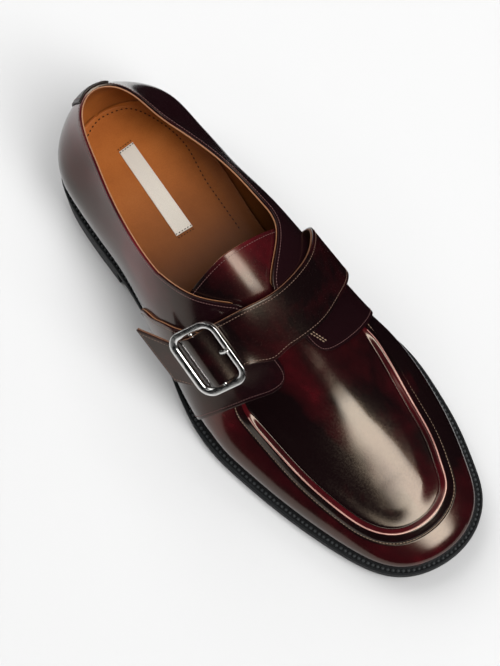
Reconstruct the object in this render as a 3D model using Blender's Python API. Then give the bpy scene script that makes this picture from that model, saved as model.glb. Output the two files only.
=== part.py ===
"""Single-strap apron-toe loafer, the wearer's right shoe, unworn and standing on its sole.

The toe points along +Y, the outer side of the foot is +X and +Z is up. Lengths in the tables are
in millimetres; a mesh is scaled to metres when it is made. The last is a skin of upright ribs that
start on the feather line, bulge out, turn over the shoulder and end on the crown line.
"""
import math

import bmesh
import bpy
import numpy as np
from mathutils import Vector

MM = 0.001

# Driving dimensions, in millimetres
FOOT_BACK, FOOT_TIP = 1.0, 295.0     # heel and toe ends of the feather line
CROWN_BACK, CROWN_FRONT = 40.0, 252.0  # the crown line runs between these two stations
CROWN_EASE = 8.0                     # how softly the ribs start to fan out at the two ends
COLLAR_FRONT, THROAT_FRONT = 104.0, 154.0  # the throat's facings run between these two stations
TREAD_BACK, TREAD_FRONT = 178.0, 226.0  # the flat part of the forefoot that stands on the floor
HEEL_BREAST = 76.0                   # front face of the heel
HEEL_HEIGHT = 21.0
TOE_SPRING = 6.5
TOP_LIFT = 6.0                       # rubber layer under the heel
OUTSOLE = 6.0
WELT = 3.0
GAP = 0.3                            # between pieces that touch
CLEAR = 0.4                          # between the upper's facets and a strip that lies on it
WALL = 2.4                           # upper leather and its lining together
INSOLE = 5.6
WELT_TUCK = 3.0                      # how far the welt reaches under the upper
STACK = OUTSOLE + WELT + 2 * GAP     # from the underside of the outsole to the feather line
RIDGE_HEIGHT = 2.3                   # rolled seam of the apron
STRAP_THICK = 2.2
STRAP_COLUMNS = 6
TAB_THICK = 1.4
BACKSTAY_THICK = 1.3
BACKSTAY_FOOT = 0.03                 # share of the rib where it starts
BACKSTAY_HALF_TURN = (0.10, 0.14)    # half its width as an angle round the shoe, at the foot and the top
TONGUE_THICK = 2.0
TONGUE_CLEAR = 0.9                   # under the facings
TONGUE_ACROSS, TONGUE_ALONG = (-0.46, 0.40), (122.0, 166.0)
BAR_WIDE, BAR_HIGH = 4.2, 2.8        # section of the buckle's frame
BUCKLE_ALONG, BUCKLE_ACROSS = 31.3, 38.4
BUCKLE_CORNER = 6.2                  # radius of the frame's corners, at the middle of the bars
BUCKLE_MIDDLE = (35.6, 153.2, 77.2)
BUCKLE_OUTWARD = (0.733, -0.278, -0.62)  # along the strap, towards its free end
BUCKLE_BARS = (-0.007, 0.909, -0.416)  # along the bars, towards the toe
CENTRE_BAR = 1.3                     # radius
PRONG = 1.1                          # radius
PRONG_HOLE = 1.8                     # radius of the strap's hole

RIBS = 96                            # ribs round the whole shoe
RIB_STEPS = 60                       # steps used to measure along a rib

# One row for each rib that shapes the last:
# side, y, x of the feather line, bulge outward, height of the bulge,
# shoulder inward from the feather, height of the shoulder, how far the throat is closed (0 to 1)
LAST = [
    ("mid", 1, 0.0, 4.0, 52.0, 4.5, 86.0, 0.0),
    ("lateral", 10, 24.6, 2.8, 50.0, 12.6, 84.5, 0.0),
    ("lateral", 25, 34.5, 2.0, 48.0, 15.8, 81.0, 0.0),
    ("lateral", 40, 37.2, 1.2, 46.0, 14.5, 79.0, 0.0),
    ("lateral", 60, 38.2, 1.2, 45.0, 11.2, 77.0, 0.0),
    ("lateral", 80, 38.6, 1.6, 44.0, 8.9, 76.0, 0.0),
    ("lateral", 100, 40.3, 2.4, 42.0, 9.8, 78.5, 0.0),
    ("lateral", 120, 43.0, 3.0, 38.0, 12.5, 80.0, 0.18),
    ("lateral", 140, 47.5, 2.5, 33.0, 12.5, 71.0, 0.66),
    ("lateral", 160, 51.0, 2.0, 27.0, 14.5, 57.0, 1.0),
    ("lateral", 180, 51.3, 1.8, 22.0, 17.0, 43.5, 1.0),
    ("lateral", 200, 48.3, 1.6, 19.0, 16.0, 37.0, 1.0),
    ("lateral", 222, 43.5, 1.5, 18.0, 13.5, 33.0, 1.0),
    ("lateral", 245, 37.0, 1.5, 17.2, 11.5, 30.9, 1.0),
    ("lateral", 265, 30.0, 1.5, 17.0, 10.6, 29.8, 1.0),
    ("lateral", 280, 22.5, 1.5, 17.5, 12.7, 29.0, 1.0),
    ("lateral", 290, 12.0, 1.5, 18.3, 15.0, 28.6, 1.0),
    ("mid", 295, -8.0, 1.5, 18.8, 16.5, 28.6, 1.0),
    ("medial", 290, -27.0, 1.1, 18.3, 16.5, 28.6, 1.0),
    ("medial", 280, -37.0, 1.0, 17.5, 15.0, 29.0, 1.0),
    ("medial", 265, -43.0, 1.1, 17.0, 13.6, 29.8, 1.0),
    ("medial", 245, -48.5, 1.3, 17.2, 13.5, 31.4, 1.0),
    ("medial", 222, -51.7, 1.6, 19.0, 13.7, 33.5, 1.0),
    ("medial", 200, -52.8, 1.8, 20.0, 12.2, 37.5, 1.0),
    ("medial", 180, -50.2, 2.4, 25.0, 8.8, 43.5, 1.0),
    ("medial", 160, -44.5, 4.5, 34.0, 4.0, 58.0, 1.0),
    ("medial", 140, -39.2, 6.5, 43.0, 0.9, 73.0, 0.70),
    ("medial", 120, -36.0, 7.2, 50.0, 0.5, 85.0, 0.10),
    ("medial", 100, -35.0, 7.0, 52.0, 0.5, 84.0, 0.0),
    ("medial", 80, -36.4, 3.9, 50.0, 2.9, 78.5, 0.0),
    ("medial", 60, -37.7, 1.9, 47.0, 8.3, 76.5, 0.0),
    ("medial", 40, -37.2, 1.2, 46.0, 14.0, 77.5, 0.0),
    ("medial", 25, -34.5, 2.0, 48.0, 16.0, 80.5, 0.0),
    ("medial", 10, -24.6, 2.8, 50.0, 12.6, 84.0, 0.0),
]

# Crown line: y, x, z. Behind the instep it only steers the ribs, which stop at the collar
CROWN = [
    (40, 0.0, 160.0), (60, 0.0, 150.0), (80, 0.0, 134.0), (100, 0.0, 116.0), (112, -0.5, 108.5),
    (125, -1.5, 103.0), (140, -3.0, 96.0), (155, -4.5, 86.0), (170, -5.5, 73.5), (185, -6.5, 61.5),
    (200, -7.0, 51.5), (215, -7.5, 43.5), (235, -8.0, 35.8), (252, -8.0, 31.5),
]

# How far the welt stands out: y, outer side, inner side
WELT_REACH = [
    (-5, 3.0, 3.0), (60, 3.0, 3.0), (100, 3.0, 2.6), (140, 4.2, 2.4), (165, 5.4, 2.6),
    (185, 5.8, 3.6), (205, 5.7, 4.8), (235, 5.5, 5.2), (270, 5.2, 5.2), (300, 5.0, 5.0),
]

# The strap where it lies on the last: reach across (-1 inner feather, 0 crown, 1 outer feather),
# station y of its back edge and of its front edge, height of its underside
STRAP = [
    (-0.96, 119.5, 142.0, 0.35), (-0.84, 121.0, 145.0, 0.8), (-0.72, 123.5, 149.5, 1.6),
    (-0.60, 127.0, 155.0, 2.4), (-0.48, 132.5, 160.0, 2.4), (-0.36, 139.5, 164.5, 1.6),
    (-0.24, 144.3, 169.0, 0.8), (-0.12, 147.2, 171.3, 0.45), (-0.02, 147.8, 171.5, 0.5),
    (0.07, 145.9, 170.6, 1.6), (0.14, 143.9, 169.8, 3.4),
]
# The strap at the buckle: distance past the centre bar, height of its underside over the frame's
# middle, its edge towards the heel and its edge towards the toe
STRAP_IN_BUCKLE = [
    (-16.4, -5.8, -14.0, 13.8), (-11.9, -4.7, -12.4, 12.4), (-6.6, -1.7, -14.1, 14.1), (0.0, 1.75, -14.4, 14.4),
    (6.6, -1.4, -14.1, 14.1), (11.9, -4.8, -12.4, 12.4), (16.4, -4.9, -14.4, 13.2),
]
# Corners of the free end: distance past the centre bar, distance towards the toe, height
TAIL_HEEL_CORNER = (31.2, -28.4, -8.2)
TAIL_TOE_CORNER = (30.1, 5.1, -8.2)

# Tab that holds the buckle, on the outer side: reach across, back edge y, front edge y
TAB = [
    (0.97, 103.5, 136.0), (0.75, 109.5, 142.0), (0.69, 115.0, 146.0), (0.62, 120.0, 150.0),
    (0.51, 127.0, 156.0), (0.44, 131.5, 160.0),
]


def clear_scene():
    for item in list(bpy.data.objects):
        bpy.data.objects.remove(item, do_unlink=True)


def leather(name, colour, roughness, metallic=0.0):
    material = bpy.data.materials.new(name)
    material.use_nodes = True
    shader = material.node_tree.nodes["Principled BSDF"]
    shader.inputs["Base Color"].default_value = (*colour, 1.0)
    shader.inputs["Roughness"].default_value = roughness
    shader.inputs["Metallic"].default_value = metallic
    return material


def smooth_curve(knots, values):
    """A natural cubic spline through the knots, as a function."""
    knots = np.asarray(knots, float)
    values = np.asarray(values, float)
    gaps = np.diff(knots)
    count = len(knots)
    system = np.eye(count)
    target = np.zeros(count)
    for i in range(1, count - 1):
        system[i, i - 1:i + 2] = gaps[i - 1], 2 * (gaps[i - 1] + gaps[i]), gaps[i]
        rise_after = (values[i + 1] - values[i]) / gaps[i]
        rise_before = (values[i] - values[i - 1]) / gaps[i - 1]
        target[i] = 6 * (rise_after - rise_before)
    bend = np.linalg.solve(system, target)

    def read(at):
        at = np.clip(at, knots[0], knots[-1])
        i = np.clip(np.searchsorted(knots, at) - 1, 0, count - 2)
        before = (knots[i + 1] - at) / gaps[i]
        after = 1 - before
        bent = (before ** 3 - before) * bend[i] + (after ** 3 - after) * bend[i + 1]
        return before * values[i] + after * values[i + 1] + bent * gaps[i] ** 2 / 6

    return read


def column_of(table, column):
    """A spline of one column of a table over its first column."""
    return smooth_curve([row[0] for row in table], [row[column] for row in table])


def turn_at(side, y):
    """Angle round the shoe: 0 at the heel, pi at the toe, the inner side past pi."""
    turn = math.acos(1 - 2 * (y - FOOT_BACK) / (FOOT_TIP - FOOT_BACK))
    return 2 * math.pi - turn if side == "medial" else turn


def around_the_last(column):
    """A closed spline of one column of LAST, as a function of the angle round the shoe."""
    turns = [turn_at(row[0], row[1]) for row in LAST]
    values = [row[column] for row in LAST]
    knots = [turn + 2 * math.pi * lap for lap in (-1, 0, 1) for turn in turns]
    curve = smooth_curve(knots, values * 3)
    return lambda turn: float(curve(turn % (2 * math.pi)))


foot_x = around_the_last(2)
bulge_out = around_the_last(3)
bulge_z = around_the_last(4)
shoulder_in = around_the_last(5)
shoulder_z = around_the_last(6)
throat_closed = around_the_last(7)
crown_x = column_of(CROWN, 1)
crown_z = column_of(CROWN, 2)
welt_lateral = column_of(WELT_REACH, 1)
welt_medial = column_of(WELT_REACH, 2)


def sole_rise(y):
    """Height of the outsole's underside: heel seat, arch, flat tread, toe spring."""
    if y > TREAD_FRONT:
        return TOE_SPRING * ((y - TREAD_FRONT) / (300.0 - TREAD_FRONT)) ** 1.8
    share = min(max((TREAD_BACK - y) / (TREAD_BACK - HEEL_BREAST), 0.0), 1.0)
    return HEEL_HEIGHT * share ** 3 * (10 - 15 * share + 6 * share ** 2)


def foot_y(turn):
    return FOOT_BACK + (FOOT_TIP - FOOT_BACK) * (1 - math.cos(turn)) / 2


def crown_station(y):
    """The crown station that a rib leads to; at the two ends the ribs fan out."""
    def soft(distance):
        return CROWN_EASE * float(np.logaddexp(0.0, distance / CROWN_EASE))
    return CROWN_BACK + soft(y - CROWN_BACK) - soft(y - CROWN_FRONT)


def rib(turn):
    """Points up one rib, their distances from the feather line, and the shoulder's distance."""
    x, y = foot_x(turn), foot_y(turn)
    station = crown_station(y)
    top = np.array([float(crown_x(station)), station])
    reach = math.hypot(top[0] - x, top[1] - y)
    inward = (top - [x, y]) / reach
    run = np.array([0.0, -bulge_out(turn), shoulder_in(turn), reach])
    rise = np.array([sole_rise(y) + STACK, bulge_z(turn), shoulder_z(turn), float(crown_z(station))])
    knots = np.concatenate([[0.0], np.cumsum(np.hypot(np.diff(run), np.diff(rise)) ** 0.8)])
    # The rib is mirrored past the crown, so that it arrives there level
    run_curve = smooth_curve(np.r_[knots, 2 * knots[-1] - knots[-2::-1]], np.r_[run, 2 * reach - run[-2::-1]])
    rise_curve = smooth_curve(np.r_[knots, 2 * knots[-1] - knots[-2::-1]], np.r_[rise, rise[-2::-1]])
    at = np.r_[np.linspace(0, knots[2], RIB_STEPS), np.linspace(knots[2], knots[3], RIB_STEPS)[1:]]
    steps = run_curve(at)
    points = np.stack([x + inward[0] * steps, y + inward[1] * steps, rise_curve(at)], 1)
    lengths = np.concatenate([[0.0], np.cumsum(np.linalg.norm(np.diff(points, axis=0), axis=1))])
    return points, lengths, lengths[RIB_STEPS - 1]


def rib_points(turn, distances):
    points, lengths, _ = rib(turn)
    return np.stack([np.interp(distances, lengths, points[:, axis]) for axis in range(3)], 1)


def edge_distance(turn):
    """Distance up the rib to the collar, the facing or, where the upper is closed, the crown."""
    _, lengths, shoulder = rib(turn)
    closed = min(max(throat_closed(turn), 0.0), 1.0)
    if foot_y(turn) > THROAT_FRONT:
        closed = 1.0
    elif foot_y(turn) < COLLAR_FRONT:
        closed = 0.0
    return shoulder + closed * (lengths[-1] - shoulder), closed


def across_the_last(reach, y):
    """A point of the last: reach -1 is the inner feather line, 0 the crown, 1 the outer one."""
    turn = turn_at("medial" if reach < 0 else "lateral", y)
    points, lengths, _ = rib(turn)
    at = (1 - abs(reach)) * lengths[-1]
    return np.array([np.interp(at, lengths, points[:, axis]) for axis in range(3)])


def make_part(name, vertices, faces, material, smooth=True):
    """A mesh object in metres; its faces already point outward."""
    mesh = bpy.data.meshes.new(name)
    mesh.from_pydata([tuple(float(value) * MM for value in vertex) for vertex in vertices], [], faces)
    mesh.materials.append(material)
    mesh.update()
    item = bpy.data.objects.new(name, mesh)
    bpy.context.scene.collection.objects.link(item)
    if smooth:
        mesh.shade_smooth()
        mesh.set_sharp_from_angle(angle=math.radians(35))
    return item


def face_outward(item):
    """Turn the faces of a closed mesh so that they point out of it."""
    form = bmesh.new()
    form.from_mesh(item.data)
    bmesh.ops.recalc_face_normals(form, faces=form.faces)
    form.to_mesh(item.data)
    form.free()


def grid_normals(grid):
    along = np.gradient(grid, axis=0)
    across = np.gradient(grid, axis=1)
    normals = np.cross(along, across)
    return normals / np.linalg.norm(normals, axis=2)[..., None]


def slab_from_grid(name, low, high, material):
    """A closed sheet between two grids of the same size."""
    rows, columns = low.shape[:2]
    vertices = np.concatenate([low.reshape(-1, 3), high.reshape(-1, 3)])
    lift = rows * columns
    faces = []
    for i in range(rows - 1):
        for j in range(columns - 1):
            a = i * columns + j
            b, c, d = a + columns, a + columns + 1, a + 1
            faces.append((a, b, c, d))
            faces.append((lift + d, lift + c, lift + b, lift + a))
    rim = [i * columns for i in range(rows)]
    rim += [(rows - 1) * columns + j for j in range(1, columns)]
    rim += [i * columns + columns - 1 for i in range(rows - 2, -1, -1)]
    rim += [j for j in range(columns - 2, 0, -1)]
    for a, b in zip(rim, rim[1:] + rim[:1]):
        faces.append((b, a, lift + a, lift + b))
    item = make_part(name, vertices, faces, material)
    face_outward(item)
    return item


def outline(turn, reach):
    """Plan position at a distance outside the feather line."""
    step = 0.01
    before = np.array([foot_x(turn - step), foot_y(turn - step)])
    after = np.array([foot_x(turn + step), foot_y(turn + step)])
    along = (after - before) / np.linalg.norm(after - before)
    outward = np.array([along[1], -along[0]])
    if outward @ (np.array([foot_x(turn), foot_y(turn)]) - [0.0, 150.0]) < 0:
        outward = -outward
    return np.array([foot_x(turn), foot_y(turn)]) + outward * reach


def welt_reach(turn):
    y = foot_y(turn)
    return float(welt_medial(y) if turn % (2 * math.pi) > math.pi else welt_lateral(y))


def plate(name, reach_of, low_of, high_of, material, last_rung, rungs=48):
    """A flat layer cut to the sole's outline, built as a ladder from the heel towards the toe.

    The ladder ends at the rung last_rung, which is pi for a layer that reaches the toe.
    """
    turns = np.linspace(0.0, last_rung, rungs + 1)
    closed = abs(last_rung - math.pi) < 1e-6
    low, high = [], []
    for i, turn in enumerate(turns):
        single = i == 0 or (closed and i == rungs)
        sides = [turn] if single else [turn, -turn]
        spots = [outline(side, reach_of(side)) for side in sides]
        if not single:
            spots.insert(1, (spots[0] + spots[1]) / 2)
        low.append([(x, y, low_of(y)) for x, y in spots])
        high.append([(x, y, high_of(y)) for x, y in spots])
    vertices = [vertex for rung in low for vertex in rung] + [vertex for rung in high for vertex in rung]
    starts = np.concatenate([[0], np.cumsum([len(rung) for rung in low])])
    lift = int(starts[-1])
    faces = []
    for i in range(rungs):
        here = list(range(starts[i], starts[i + 1]))
        ahead = list(range(starts[i + 1], starts[i + 2]))
        for k in range(2):
            left = here[0] if len(here) == 1 else here[k]
            left_next = here[0] if len(here) == 1 else here[k + 1]
            right = ahead[0] if len(ahead) == 1 else ahead[k]
            right_next = ahead[0] if len(ahead) == 1 else ahead[k + 1]
            corners = []
            for corner in (left, left_next, right_next, right):
                if corner not in corners:
                    corners.append(corner)
            faces.append(tuple(corners))
            faces.append(tuple(lift + corner for corner in reversed(corners)))
        for end in (0, -1):
            a, b = here[end], ahead[end]
            wall = (a, b, lift + b, lift + a)
            faces.append(wall if end == 0 else tuple(reversed(wall)))
    if not closed:
        rung = list(range(starts[rungs], starts[rungs + 1]))
        for a, b in zip(rung, rung[1:]):
            faces.append((a, b, lift + b, lift + a))
    item = make_part(name, vertices, faces, material)
    face_outward(item)
    return item


def build_sole(rubber, edge_ink, insole_leather):
    heel_end = turn_at("lateral", HEEL_BREAST)
    plate("outsole", welt_reach, sole_rise, lambda y: sole_rise(y) + OUTSOLE, edge_ink, math.pi, 60)
    plate("heel_stack", welt_reach, lambda y: TOP_LIFT + GAP, lambda y: sole_rise(y) - GAP, edge_ink,
          heel_end, 22)
    plate("heel_top_lift", welt_reach, lambda y: 0.0, lambda y: TOP_LIFT, rubber, heel_end, 22)
    plate("insole", lambda turn: -WELT_TUCK - GAP, lambda y: sole_rise(y) + OUTSOLE + GAP,
          lambda y: sole_rise(y) + OUTSOLE + GAP + INSOLE, insole_leather, math.pi, 48)


def build_welt(edge_ink):
    """A strip all round on top of the outsole, narrow at the heel and broad round the forefoot."""
    vertices = []
    faces = []
    for i in range(RIBS):
        turn = 2 * math.pi * i / RIBS
        for reach in (-WELT_TUCK, welt_reach(turn)):
            x, y = outline(turn, reach)
            base = sole_rise(y) + OUTSOLE + GAP
            vertices += [(x, y, base), (x, y, base + WELT)]
        here, ahead = 4 * i, 4 * ((i + 1) % RIBS)
        for a, b in ((0, 2), (2, 3), (3, 1), (1, 0)):
            faces.append((here + a, here + b, ahead + b, ahead + a))
    item = make_part("welt", vertices, faces, edge_ink)
    face_outward(item)


RIDGE_STARTS, RIDGE_FULL = 171.0, 186.0  # stations where the ridge rises from under the flaps
RIDGE_SHAPE = [  # distance from the ridge's crest along the rib, share of its height
    (-5.3, 0.0), (-4.3, 0.25), (-2.3, 0.75), (-0.5, 1.0), (0.6, 0.9), (1.7, 0.25), (2.6, 0.0),
]
WALL_SHARES = (0.0, 0.14, 0.32, 0.52, 0.72, 0.88)
TOP_SHARES = (0.22, 0.47, 0.73, 1.0)


def ease(value, start, end):
    share = min(max((value - start) / (end - start), 0.0), 1.0)
    return share * share * (3 - 2 * share)


def upper_rows(turn):
    """Distances up the rib for one column of the upper, and the ridge's height at each."""
    _, lengths, shoulder = rib(turn)
    edge, _ = edge_distance(turn)
    forward = ease(foot_y(turn), 150.0, 182.0)
    crest = forward * shoulder + (1 - forward) * 0.72 * edge
    height = RIDGE_HEIGHT * ease(foot_y(turn), RIDGE_STARTS, RIDGE_FULL)
    wall_end = crest + RIDGE_SHAPE[0][0]
    rows = [share * wall_end for share in WALL_SHARES]
    rows += [crest + offset for offset, _ in RIDGE_SHAPE]
    last = rows[-1]
    rows += [last + share * (edge - last) for share in TOP_SHARES]
    lift = [0.0] * len(WALL_SHARES) + [share * height for _, share in RIDGE_SHAPE] + [0.0] * len(TOP_SHARES)
    return rows, lift


def build_upper(hide):
    """One hollow shell: open at the collar, along the throat and underneath."""
    turns = [2 * math.pi * i / RIBS for i in range(RIBS)]
    rows = len(WALL_SHARES) + len(RIDGE_SHAPE) + len(TOP_SHARES)
    base, lifts, closed = [], [], []
    for turn in turns:
        distances, lift = upper_rows(turn)
        base.append(rib_points(turn, distances))
        lifts.append(lift)
        closed.append(edge_distance(turn)[1] >= 1.0)
    base = np.array(base)
    lifts = np.array(lifts)

    # Ribs of the two sides share their last point where the upper is closed
    number = np.arange(RIBS * rows).reshape(RIBS, rows)
    for i in range(RIBS // 2 + 1, RIBS):
        if closed[i]:
            number[i, rows - 1] = number[RIBS - i, rows - 1]
    quads = []
    for i in range(RIBS):
        ahead = (i + 1) % RIBS
        for j in range(rows - 1):
            quad = []
            for corner in (number[i, j], number[ahead, j], number[ahead, j + 1], number[i, j + 1]):
                if corner not in quad:
                    quad.append(int(corner))
            quads.append(tuple(quad))
    points = base.reshape(-1, 3)
    normals = np.zeros_like(points)
    for quad in quads:
        p = points[list(quad)]
        normal = np.cross(p[2] - p[0], p[-1] - p[1]) if len(quad) == 4 else np.cross(p[1] - p[0], p[2] - p[0])
        for corner in quad:
            normals[corner] += normal
    lengths = np.linalg.norm(normals, axis=1)
    used = lengths > 0
    normals[used] /= lengths[used, None]
    outer = points + normals * lifts.reshape(-1, 1)
    inner = points - normals * WALL

    # The shell stands level on the welt: the inner wall's foot keeps the feather line's height
    for i in range(RIBS):
        inner[number[i, 0], 2] = points[number[i, 0], 2]

    shift = len(points)
    faces = list(quads) + [tuple(shift + corner for corner in reversed(quad)) for quad in quads]
    for i in range(RIBS):
        ahead = (i + 1) % RIBS
        a, b = int(number[i, 0]), int(number[ahead, 0])
        faces.append((b, a, shift + a, shift + b))
        if not (closed[i] and closed[ahead]):
            a, b = int(number[i, rows - 1]), int(number[ahead, rows - 1])
            faces.append((a, b, shift + b, shift + a))
    everything = np.concatenate([outer, inner])
    kept = sorted({corner for face in faces for corner in face})
    renumber = {old: new for new, old in enumerate(kept)}
    faces = [tuple(renumber[corner] for corner in face) for face in faces]
    item = make_part("upper", everything[kept], faces, hide)
    face_outward(item)


def band(edge_back, edge_front, reaches, widths, thickness, lift_of):
    """Two grids, low and high, of a band that lies across the last between two edges."""
    grid = np.array([[across_the_last(reach, edge_back(reach) + share * (edge_front(reach) - edge_back(reach)))
                      for share in widths] for reach in reaches])
    normals = grid_normals(grid)
    if normals[len(reaches) // 2, 0, 2] < 0 or normals[0, 0] @ (grid[0, 0] - [0.0, grid[0, 0, 1], 40.0]) < 0:
        normals = -normals
    lift = np.array([lift_of(reach) for reach in reaches])[:, None, None]
    low = grid + normals * lift
    return low, low + normals * thickness, normals


def strap_grid():
    """The strap's underside: a smooth sheet through rows on the last and rows at the buckle."""
    back, front, lift = (column_of(STRAP, column) for column in (1, 2, 3))
    widths = np.linspace(0.0, 1.0, STRAP_COLUMNS)
    reaches = [row[0] for row in STRAP]
    rows, _, _ = band(back, front, reaches, widths, 0.0, lambda reach: float(lift(reach)))
    rows = list(rows)
    middle, along, bars, up = buckle_frame()
    for distance, height, heel_edge, toe_edge in STRAP_IN_BUCKLE:
        spread = heel_edge + (toe_edge - heel_edge) * widths
        rows.append(middle + along * distance + up * height + bars * spread[:, None])
    rows = np.array(rows)
    steps = np.linalg.norm(np.diff(rows.mean(axis=1), axis=0), axis=1)
    knots = np.concatenate([[0.0], np.cumsum(steps)])
    start_of_buckle = knots[len(STRAP)]
    at = np.r_[np.linspace(0, start_of_buckle - 6, 22)[:-1], np.linspace(start_of_buckle - 6, knots[-1], 22)]
    smooth = np.array([[smooth_curve(knots, rows[:, k, axis])(at) for axis in range(3)]
                       for k in range(len(widths))]).transpose(2, 0, 1)
    # Past the buckle the free end runs straight to its two corners
    corners = [middle + along * a + bars * b + up * c for a, b, c in (TAIL_HEEL_CORNER, TAIL_TOE_CORNER)]
    end = corners[0] + (corners[1] - corners[0]) * widths[:, None]
    tail = [smooth[-1] + (end - smooth[-1]) * share for share in (0.3, 0.65, 1.0)]
    return np.concatenate([smooth, tail])


def build_strap(hide):
    low = strap_grid()
    normals = grid_normals(low)
    if normals[len(low) // 2, 2, 2] < 0:
        normals = -normals
    return slab_from_grid("strap", low, low + normals * STRAP_THICK, hide)


def build_tab(hide):
    back = smooth_curve([row[0] for row in TAB[::-1]], [row[1] for row in TAB[::-1]])
    front = smooth_curve([row[0] for row in TAB[::-1]], [row[2] for row in TAB[::-1]])
    reaches = np.linspace(TAB[-1][0], TAB[0][0], 14)
    low, high, _ = band(back, front, reaches, np.linspace(0, 1, 5), TAB_THICK, lambda reach: CLEAR)
    slab_from_grid("buckle_tab", low, high, hide)


def build_backstay(hide):
    """The strip up the back of the heel, a little broader at the top."""
    grid = []
    for share in np.linspace(BACKSTAY_FOOT, 1.0, 13):
        half = BACKSTAY_HALF_TURN[0] + (BACKSTAY_HALF_TURN[1] - BACKSTAY_HALF_TURN[0]) * share
        turns = np.linspace(-half, half, 7)
        grid.append([rib_points(turn, [share * edge_distance(turn)[0]])[0] for turn in turns])
    grid = np.array(grid)
    normals = grid_normals(grid)
    if normals[0, 0, 1] > 0:
        normals = -normals
    low = grid + normals * CLEAR
    slab_from_grid("backstay", low, low + normals * BACKSTAY_THICK, hide)


def build_tongue(hide):
    """A sheet under the facings, from above the strap down under the front of the throat."""
    reaches = np.linspace(*TONGUE_ACROSS, 11)
    stations = np.linspace(*TONGUE_ALONG, 9)
    grid = np.array([[across_the_last(reach, y) for reach in reaches] for y in stations])
    normals = grid_normals(grid)
    if normals[4, 5, 2] < 0:
        normals = -normals
    high = grid - normals * (WALL + TONGUE_CLEAR)
    slab_from_grid("tongue", high - normals * TONGUE_THICK, high, hide)


def buckle_frame():
    """Middle of the buckle and its axes: along the strap outward, along the bars, and up."""
    along = np.array(BUCKLE_OUTWARD) / np.linalg.norm(BUCKLE_OUTWARD)
    bars = BUCKLE_BARS - along * (along @ BUCKLE_BARS)
    bars /= np.linalg.norm(bars)
    return np.array(BUCKLE_MIDDLE), along, bars, np.cross(along, bars)


def sweep(name, path, normals_in, normals_up, section, closed, material):
    """A tube that follows a path, with the section given as (in, up) pairs."""
    count, sides = len(path), len(section)
    vertices = []
    for spot, inward, up in zip(path, normals_in, normals_up):
        vertices += [spot + inward * a + up * b for a, b in section]
    faces = []
    for i in range(count if closed else count - 1):
        ahead = (i + 1) % count
        for k in range(sides):
            after = (k + 1) % sides
            faces.append((i * sides + k, i * sides + after, ahead * sides + after, ahead * sides + k))
    if not closed:
        faces.append(tuple(range(sides)))
        faces.append(tuple((count - 1) * sides + k for k in reversed(range(sides))))
    item = make_part(name, vertices, faces, material)
    face_outward(item)
    return item


def round_section(radius, sides=8):
    return [(radius * math.cos(2 * math.pi * k / sides), radius * math.sin(2 * math.pi * k / sides))
            for k in range(sides)]


def join(item, other):
    """Unite two closed forms into one."""
    union = item.modifiers.new("join", "BOOLEAN")
    union.operation = "UNION"
    union.object = other
    other.hide_render = True
    other.display_type = "WIRE"


def build_buckle(steel, strap):
    middle, along, bars, up = buckle_frame()
    half_along = (BUCKLE_ALONG - BAR_WIDE) / 2
    half_across = (BUCKLE_ACROSS - BAR_WIDE) / 2
    path, inward = [], []
    centres = ((1, 1), (-1, 1), (-1, -1), (1, -1))
    for index, (a, b) in enumerate(centres):
        for step in range(6):
            angle = math.radians(90 * index + 18 * step)
            direction = math.cos(angle) * along + math.sin(angle) * bars
            centre = middle + along * a * (half_along - BUCKLE_CORNER) + bars * b * (half_across - BUCKLE_CORNER)
            path.append(centre + direction * BUCKLE_CORNER)
            inward.append(-direction)
    wide, high, cut = BAR_WIDE / 2, BAR_HIGH / 2, 0.8
    section = [(-wide, -high), (wide, -high), (wide, high - cut), (wide - cut, high), (cut - wide, high),
               (-wide, high - cut)]
    frame = sweep("buckle", path, inward, [up] * len(path), section, True, steel)
    ends = [middle - bars * half_across, middle + bars * half_across]
    bar = sweep("centre_bar", ends, [along] * 2, [up] * 2, round_section(CENTRE_BAR), False, steel)
    join(frame, bar)

    # The prong starts beside the centre bar, comes up through the strap and lies on the inner bar
    clear = CENTRE_BAR + GAP + PRONG
    stops = [(-clear, -0.6), (-clear - 1.8, 0.6), (-clear - 4.2, BAR_HIGH / 2 + 0.9),
             (-half_along + 1.0, BAR_HIGH / 2 + GAP + PRONG + 0.1), (-half_along - 1.0, BAR_HIGH / 2 + GAP + PRONG)]
    route = [middle + along * a + up * b for a, b in stops]
    headings = np.gradient(np.array(route), axis=0)
    uprights = []
    for heading in headings:
        heading = heading / np.linalg.norm(heading)
        uprights.append(np.cross(heading, bars))
    sweep("buckle_prong", route, [bars] * len(route), uprights, round_section(PRONG, 8), False, steel)

    # A slot through the strap for the prong
    cutter_ends = [middle - along * 5.4 - up * 9.0, middle - along * 5.4 + up * 9.0]
    slot = [(a * 2.3, b) for a, b in round_section(PRONG_HOLE, 12)]
    cutter = sweep("prong_hole", cutter_ends, [along] * 2, [bars] * 2, slot, False, steel)
    cutter.hide_render = True
    cutter.display_type = "WIRE"
    hole = strap.modifiers.new("prong_hole", "BOOLEAN")
    hole.operation = "DIFFERENCE"
    hole.object = cutter


def settle():
    """Bring the middle of the shoe's box to x = y = 0 and its lowest point to z = 0."""
    bpy.context.view_layer.update()
    shown = [item for item in bpy.data.objects if item.type == "MESH" and not item.hide_render]
    depsgraph = bpy.context.evaluated_depsgraph_get()
    spots = []
    for item in shown:
        evaluated = item.evaluated_get(depsgraph)
        spots += [tuple(vertex.co) for vertex in evaluated.data.vertices]
    spots = np.array(spots)
    low, high = spots.min(axis=0), spots.max(axis=0)
    shift = Vector(((low[0] + high[0]) / 2, (low[1] + high[1]) / 2, low[2]))
    for item in bpy.data.objects:
        if item.type == "MESH":
            for vertex in item.data.vertices:
                vertex.co -= shift
            item.data.update()


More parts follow.
